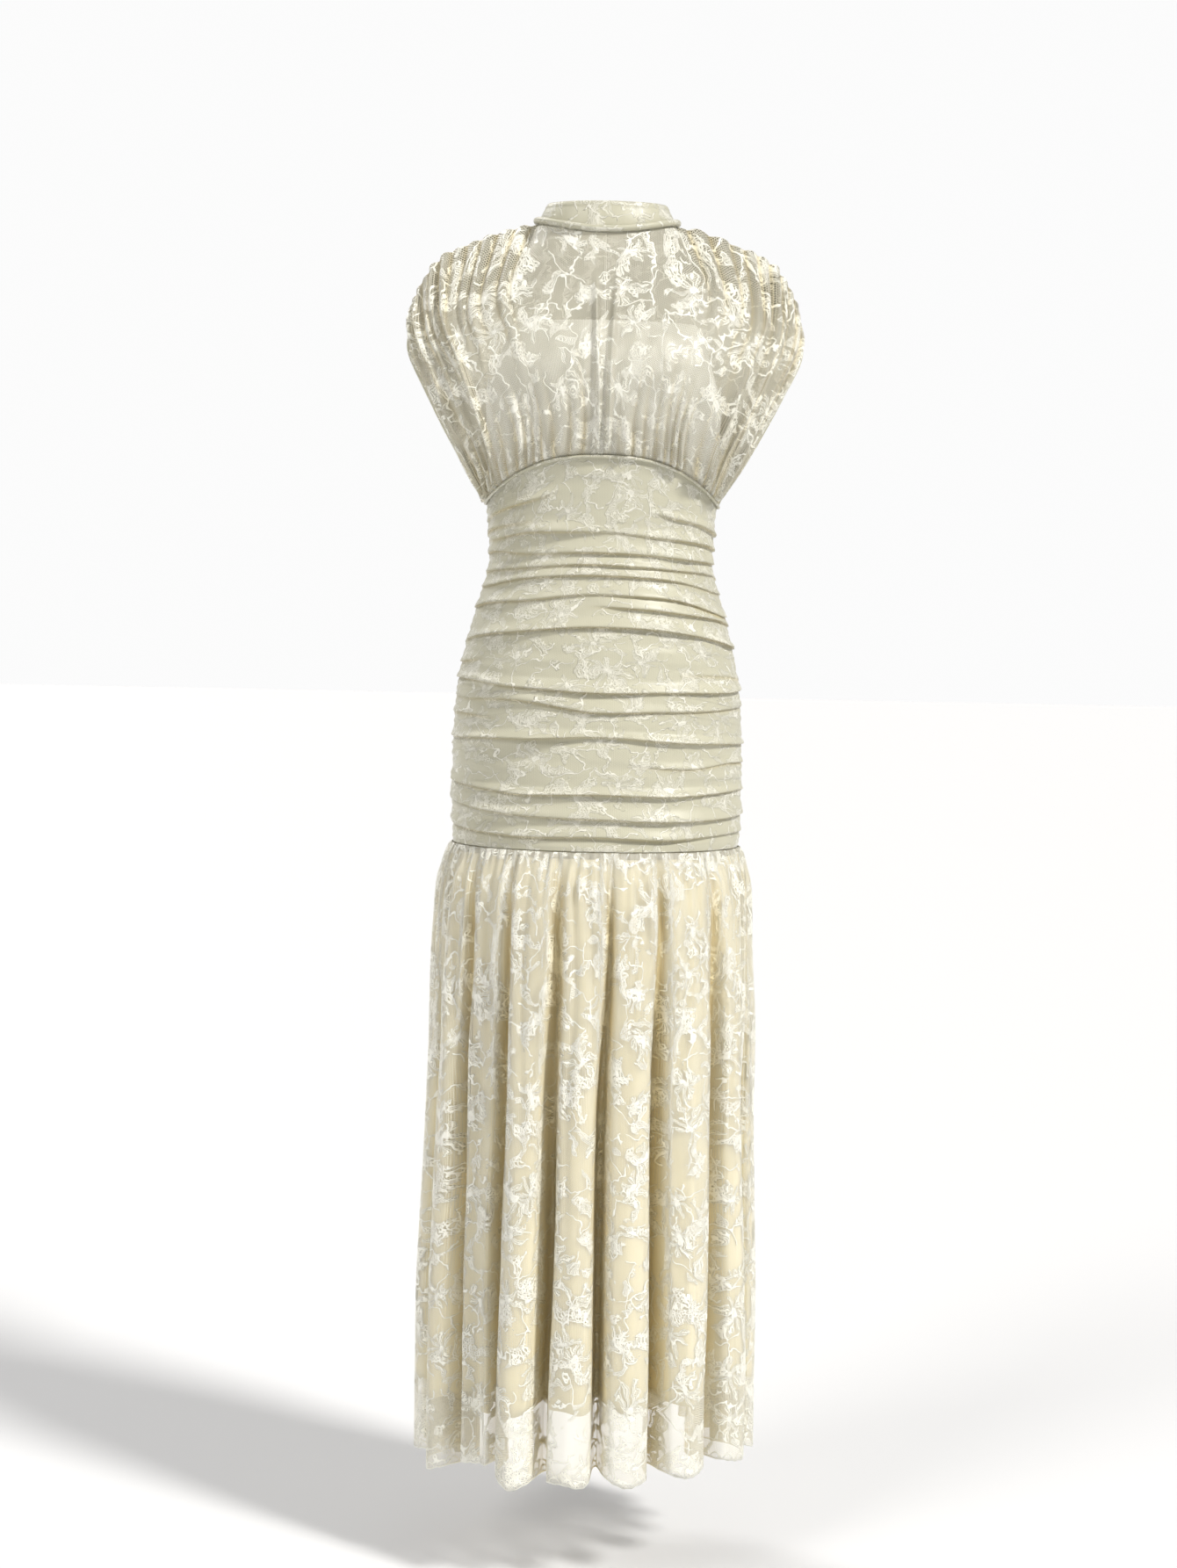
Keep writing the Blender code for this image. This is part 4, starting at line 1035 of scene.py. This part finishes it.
def foldPlace(angle):
    # a whole number on a fold's crest and a half in the valley beside it, with the crest's reach and hem
    folds = np.array(skirtFolds, float)
    turn = np.array([360, 0, 0])
    around, reach, hem = np.concatenate([folds[-3:] - turn, folds, folds[:3] + turn]).T
    index = np.arange(len(around)) - 3
    phase = np.interp(np.degrees(angle), around, index)
    return phase, reach[np.round(phase).astype(int) + 3], np.interp(phase, index, hem)


def roundTrip(angle):
    # an angle as a place on a circle as long as wander's table, so that unevenness meets itself behind
    return angle / (2 * pi) * patchNumbers


def skirtPoints(angle, down, hemZ, gathered=True, inset=0.0):
    # the points of a layer, and a mask of painted shade in the valleys of its folds, with down from 0 at the
    # hip seam to 1 at the hem
    phase, reach, hem = foldPlace(angle)
    valley = np.sin(pi * phase) ** 2
    bottom = hemZ + hem + skirt["valleyLift"] * valley
    bottom = bottom + skirt["hemWave"] * wander(roundTrip(angle), 3.5, 131)
    if gathered:
        around = angle * skirt["clothRound"]["hem"] / skirt["scallopPitch"]
        bottom = bottom + skirt["scallop"] * np.abs(np.sin(pi / 2 * around))
    z = hipSeamZ - halfGap + (bottom - hipSeamZ) * down[:, None]
    drop = np.clip((hipSeamZ - z) / (hipSeamZ - skirt["hemZ"]), 0, 1.1)
    angles = np.broadcast_to(angle, z.shape)
    sway = skirt["drift"] * wander(roundTrip(angles) / 4, drop * 2.2, 132) * ease(drop / 0.35)
    phase, reach, hem = foldPlace(angles + sway)
    fromValley = phase - np.floor(phase) - 0.5
    spread = 0.62 + 0.38 * ease(drop / 0.45) + 0.25 * wander(roundTrip(angles) / 2, drop * 2, 139)
    width = skirt["valleyWidth"] * spread
    walls = np.exp(-(np.abs(fromValley / width) ** skirt["steepness"]))
    valley = skirt["crown"] * np.sin(pi * phase) ** 2 + (1 - skirt["crown"]) * walls
    lowered = (1 - reach) * np.cos(pi * phase) ** 2
    depth = skirt["foldDepth"] * ease(drop * 1.25 + 0.06) ** 0.7 * (valley + lowered)
    depth = depth * (1 + 0.12 * wander(roundTrip(angles) / 3, drop * 3, 133)) * ease(drop / 0.02)
    base = ring(skirt, angles, z)
    out = without(outwards(base), 2)
    lift = np.zeros(z.shape)
    if gathered:
        place = angles * skirt["clothRound"]["pleats"] / skirt["pleatPitch"]
        place = place + 0.55 * wander(roundTrip(angles) / 2, drop * 5, 134)
        height, tall, far = tubes(place, 135)
        shown = ease(drop / 0.06) * (1 - ease((drop - 0.10 - 0.25 * far) / (0.25 + 0.3 * far)))
        lift = lift + skirt["pleatHeight"] * (0.3 + 0.7 * tall) * height * shown
        place = angles * skirt["clothRound"]["gathers"] / skirt["gatherPitch"]
        place = place + 0.5 * wander(roundTrip(angles), drop * 12, 136)
        height, tall, far = tubes(place, 137)
        shown = (0.45 + 0.55 * ease(drop / 0.01)) * (1 - ease(drop / (0.05 + 0.22 * far)))
        lift = lift + skirt["gatherHeight"] * (0.4 + 0.6 * tall) * height * shown
        lift = lift + 0.0014 * wander(roundTrip(angles) * 0.8, drop * 7, 138) * ease(drop / 0.2)
    # the second value is painted shade for the valleys of the folds
    return base + (lift - depth - inset)[..., None] * out, walls * ease(drop / 0.12)


def evenColumns(low, high, count):
    # angles that stand closer together on the walls of the folds, where there is more cloth
    fine = np.linspace(low, high, 2000)
    points, _ = skirtPoints(fine, np.linspace(0, 1, 5), skirt["hemZ"], gathered=False)
    along = lengthAlong(points[-1])
    mixed = 0.6 * along / along[-1] + 0.4 * (fine - low) / (high - low)
    return np.interp(np.linspace(0, 1, count), mixed, fine)


def makeSkirt(name, liningName, node, liningNode, low, high):
    forward = np.cos((low + high) / 2) > 0
    angle = evenColumns(low, high, 301)
    down = np.linspace(0, 1, 131) ** 1.2
    shell, shellShade = skirtPoints(angle, down, skirt["hemZ"])
    shell[0, :, 2] = hipSeamZ - halfGap
    angle = evenColumns(low, high, 181)
    start = 0.012
    down = start + (1 - start) * np.linspace(0, 1, 51)
    lining, liningShade = skirtPoints(angle, down, skirt["liningHemZ"], False, skirt["liningInset"])
    for points in (shell, lining):
        points[:, 0, 1] = points[:, -1, 1] = -halfGap if forward else halfGap
    makeCloth(name, node, shell, sheerLook, skirt["wall"], (0.0 if forward else 1.3, 0.0), 1.0,
              area=0.85, foldShade=shellShade)
    makeCloth(liningName, liningNode, lining, liningLook, skirt["liningWall"], (0.5, 1.0), 1.0,
              area=0.85, foldShade=liningShade)


makeSkirt("skirtFrontLace", "skirtLiningFront", "skirt_front", "skirt_lining_front", -pi / 2, pi / 2)
makeSkirt("skirtBackLace", "skirtLiningBack", "skirt_back", "skirt_lining_back", pi / 2, 3 * pi / 2)
print("skirt made")

# Floor, light and camera
studio = {
    "floorZ": -1.553,
    "floorHalfWidth": 30.0,
    "floorColour": (0.72, 0.72, 0.73, 1),
    "roomStrength": 0.22,
    "backdropStrength": 0.97,
    "glowBehind": 0.5,       # of the backdrop's light, from behind the dress
    # where it shines from, softness in degrees, strength, colour
    "suns": [
        ((1.45, -1.1, 1.7), 9, 3.1, (1.0, 0.985, 0.95)),
        ((-1.3, -1.3, 1.6), 20, 0.95, (1.0, 0.98, 0.94)),
        ((-1.4, 1.6, 1.7), 20, 1.3, (1.0, 0.99, 0.97)),
    ],
}

shot = {
    "place": (-0.0093, -2.9, -0.433),
    "pitch": 4.0,            # degrees down
    "roll": 1.1,
    "lens": 56.9,
    "sensor": 36,
}


def makeStage():
    reach = studio["floorHalfWidth"]
    corners = [[(x, y, studio["floorZ"]) for x in (-reach, reach)] for y in (-reach, reach)]
    mesh = gridMesh("studioFloor", np.array(corners))
    material, tree, shader = newMaterial("paleFloor")
    shader.inputs["Base Color"].default_value = studio["floorColour"]
    shader.inputs["Roughness"].default_value = 0.7
    mesh.materials.append(material)
    piece = bpy.data.objects.new("studioFloor", mesh)
    bpy.context.collection.objects.link(piece)
    # a white backdrop all round, in a room that lights the dress more softly, most of all from behind
    world = bpy.data.worlds.new("paleStudio")
    world.use_nodes = True
    tree = world.node_tree
    direction = tree.nodes.new("ShaderNodeTexCoord").outputs["Generated"]
    _, behind, _ = parts(tree, direction)
    glow = times(tree, fadeBetween(tree, behind, 0.1, 0.8), studio["glowBehind"])
    seen = tree.nodes.new("ShaderNodeLightPath").outputs["Is Camera Ray"]
    bright = calc(tree, "MULTIPLY_ADD", larger(tree, glow, seen),
                  studio["backdropStrength"] - studio["roomStrength"], studio["roomStrength"])
    tree.links.new(bright, tree.nodes["Background"].inputs["Strength"])
    tree.nodes["Background"].inputs["Color"].default_value = (1, 1, 1, 1)
    bpy.context.scene.world = world
    for k, (place, softness, strength, colour) in enumerate(studio["suns"]):
        light = bpy.data.lights.new(f"softLight{k}", "SUN")
        light.angle = radians(softness)
        light.energy = strength
        light.color = colour
        lamp = bpy.data.objects.new(f"softLight{k}", light)
        lamp.location = place
        lamp.rotation_euler = (-Vector(place)).to_track_quat("-Z", "Y").to_euler()
        bpy.context.collection.objects.link(lamp)


def makeCamera():
    lens = bpy.data.cameras.new("shot")
    lens.sensor_fit = "VERTICAL"
    lens.sensor_height = shot["sensor"]
    lens.lens = shot["lens"]
    camera = bpy.data.objects.new("shot", lens)
    pitch = Matrix.Rotation(radians(90 - shot["pitch"]), 4, "X")
    roll = Matrix.Rotation(radians(shot["roll"]), 4, "Z")
    camera.matrix_world = Matrix.Translation(shot["place"]) @ pitch @ roll
    bpy.context.collection.objects.link(camera)
    bpy.context.scene.camera = camera


makeStage()
makeCamera()
bpy.context.scene.view_settings.view_transform = "Standard"
print("stage made")
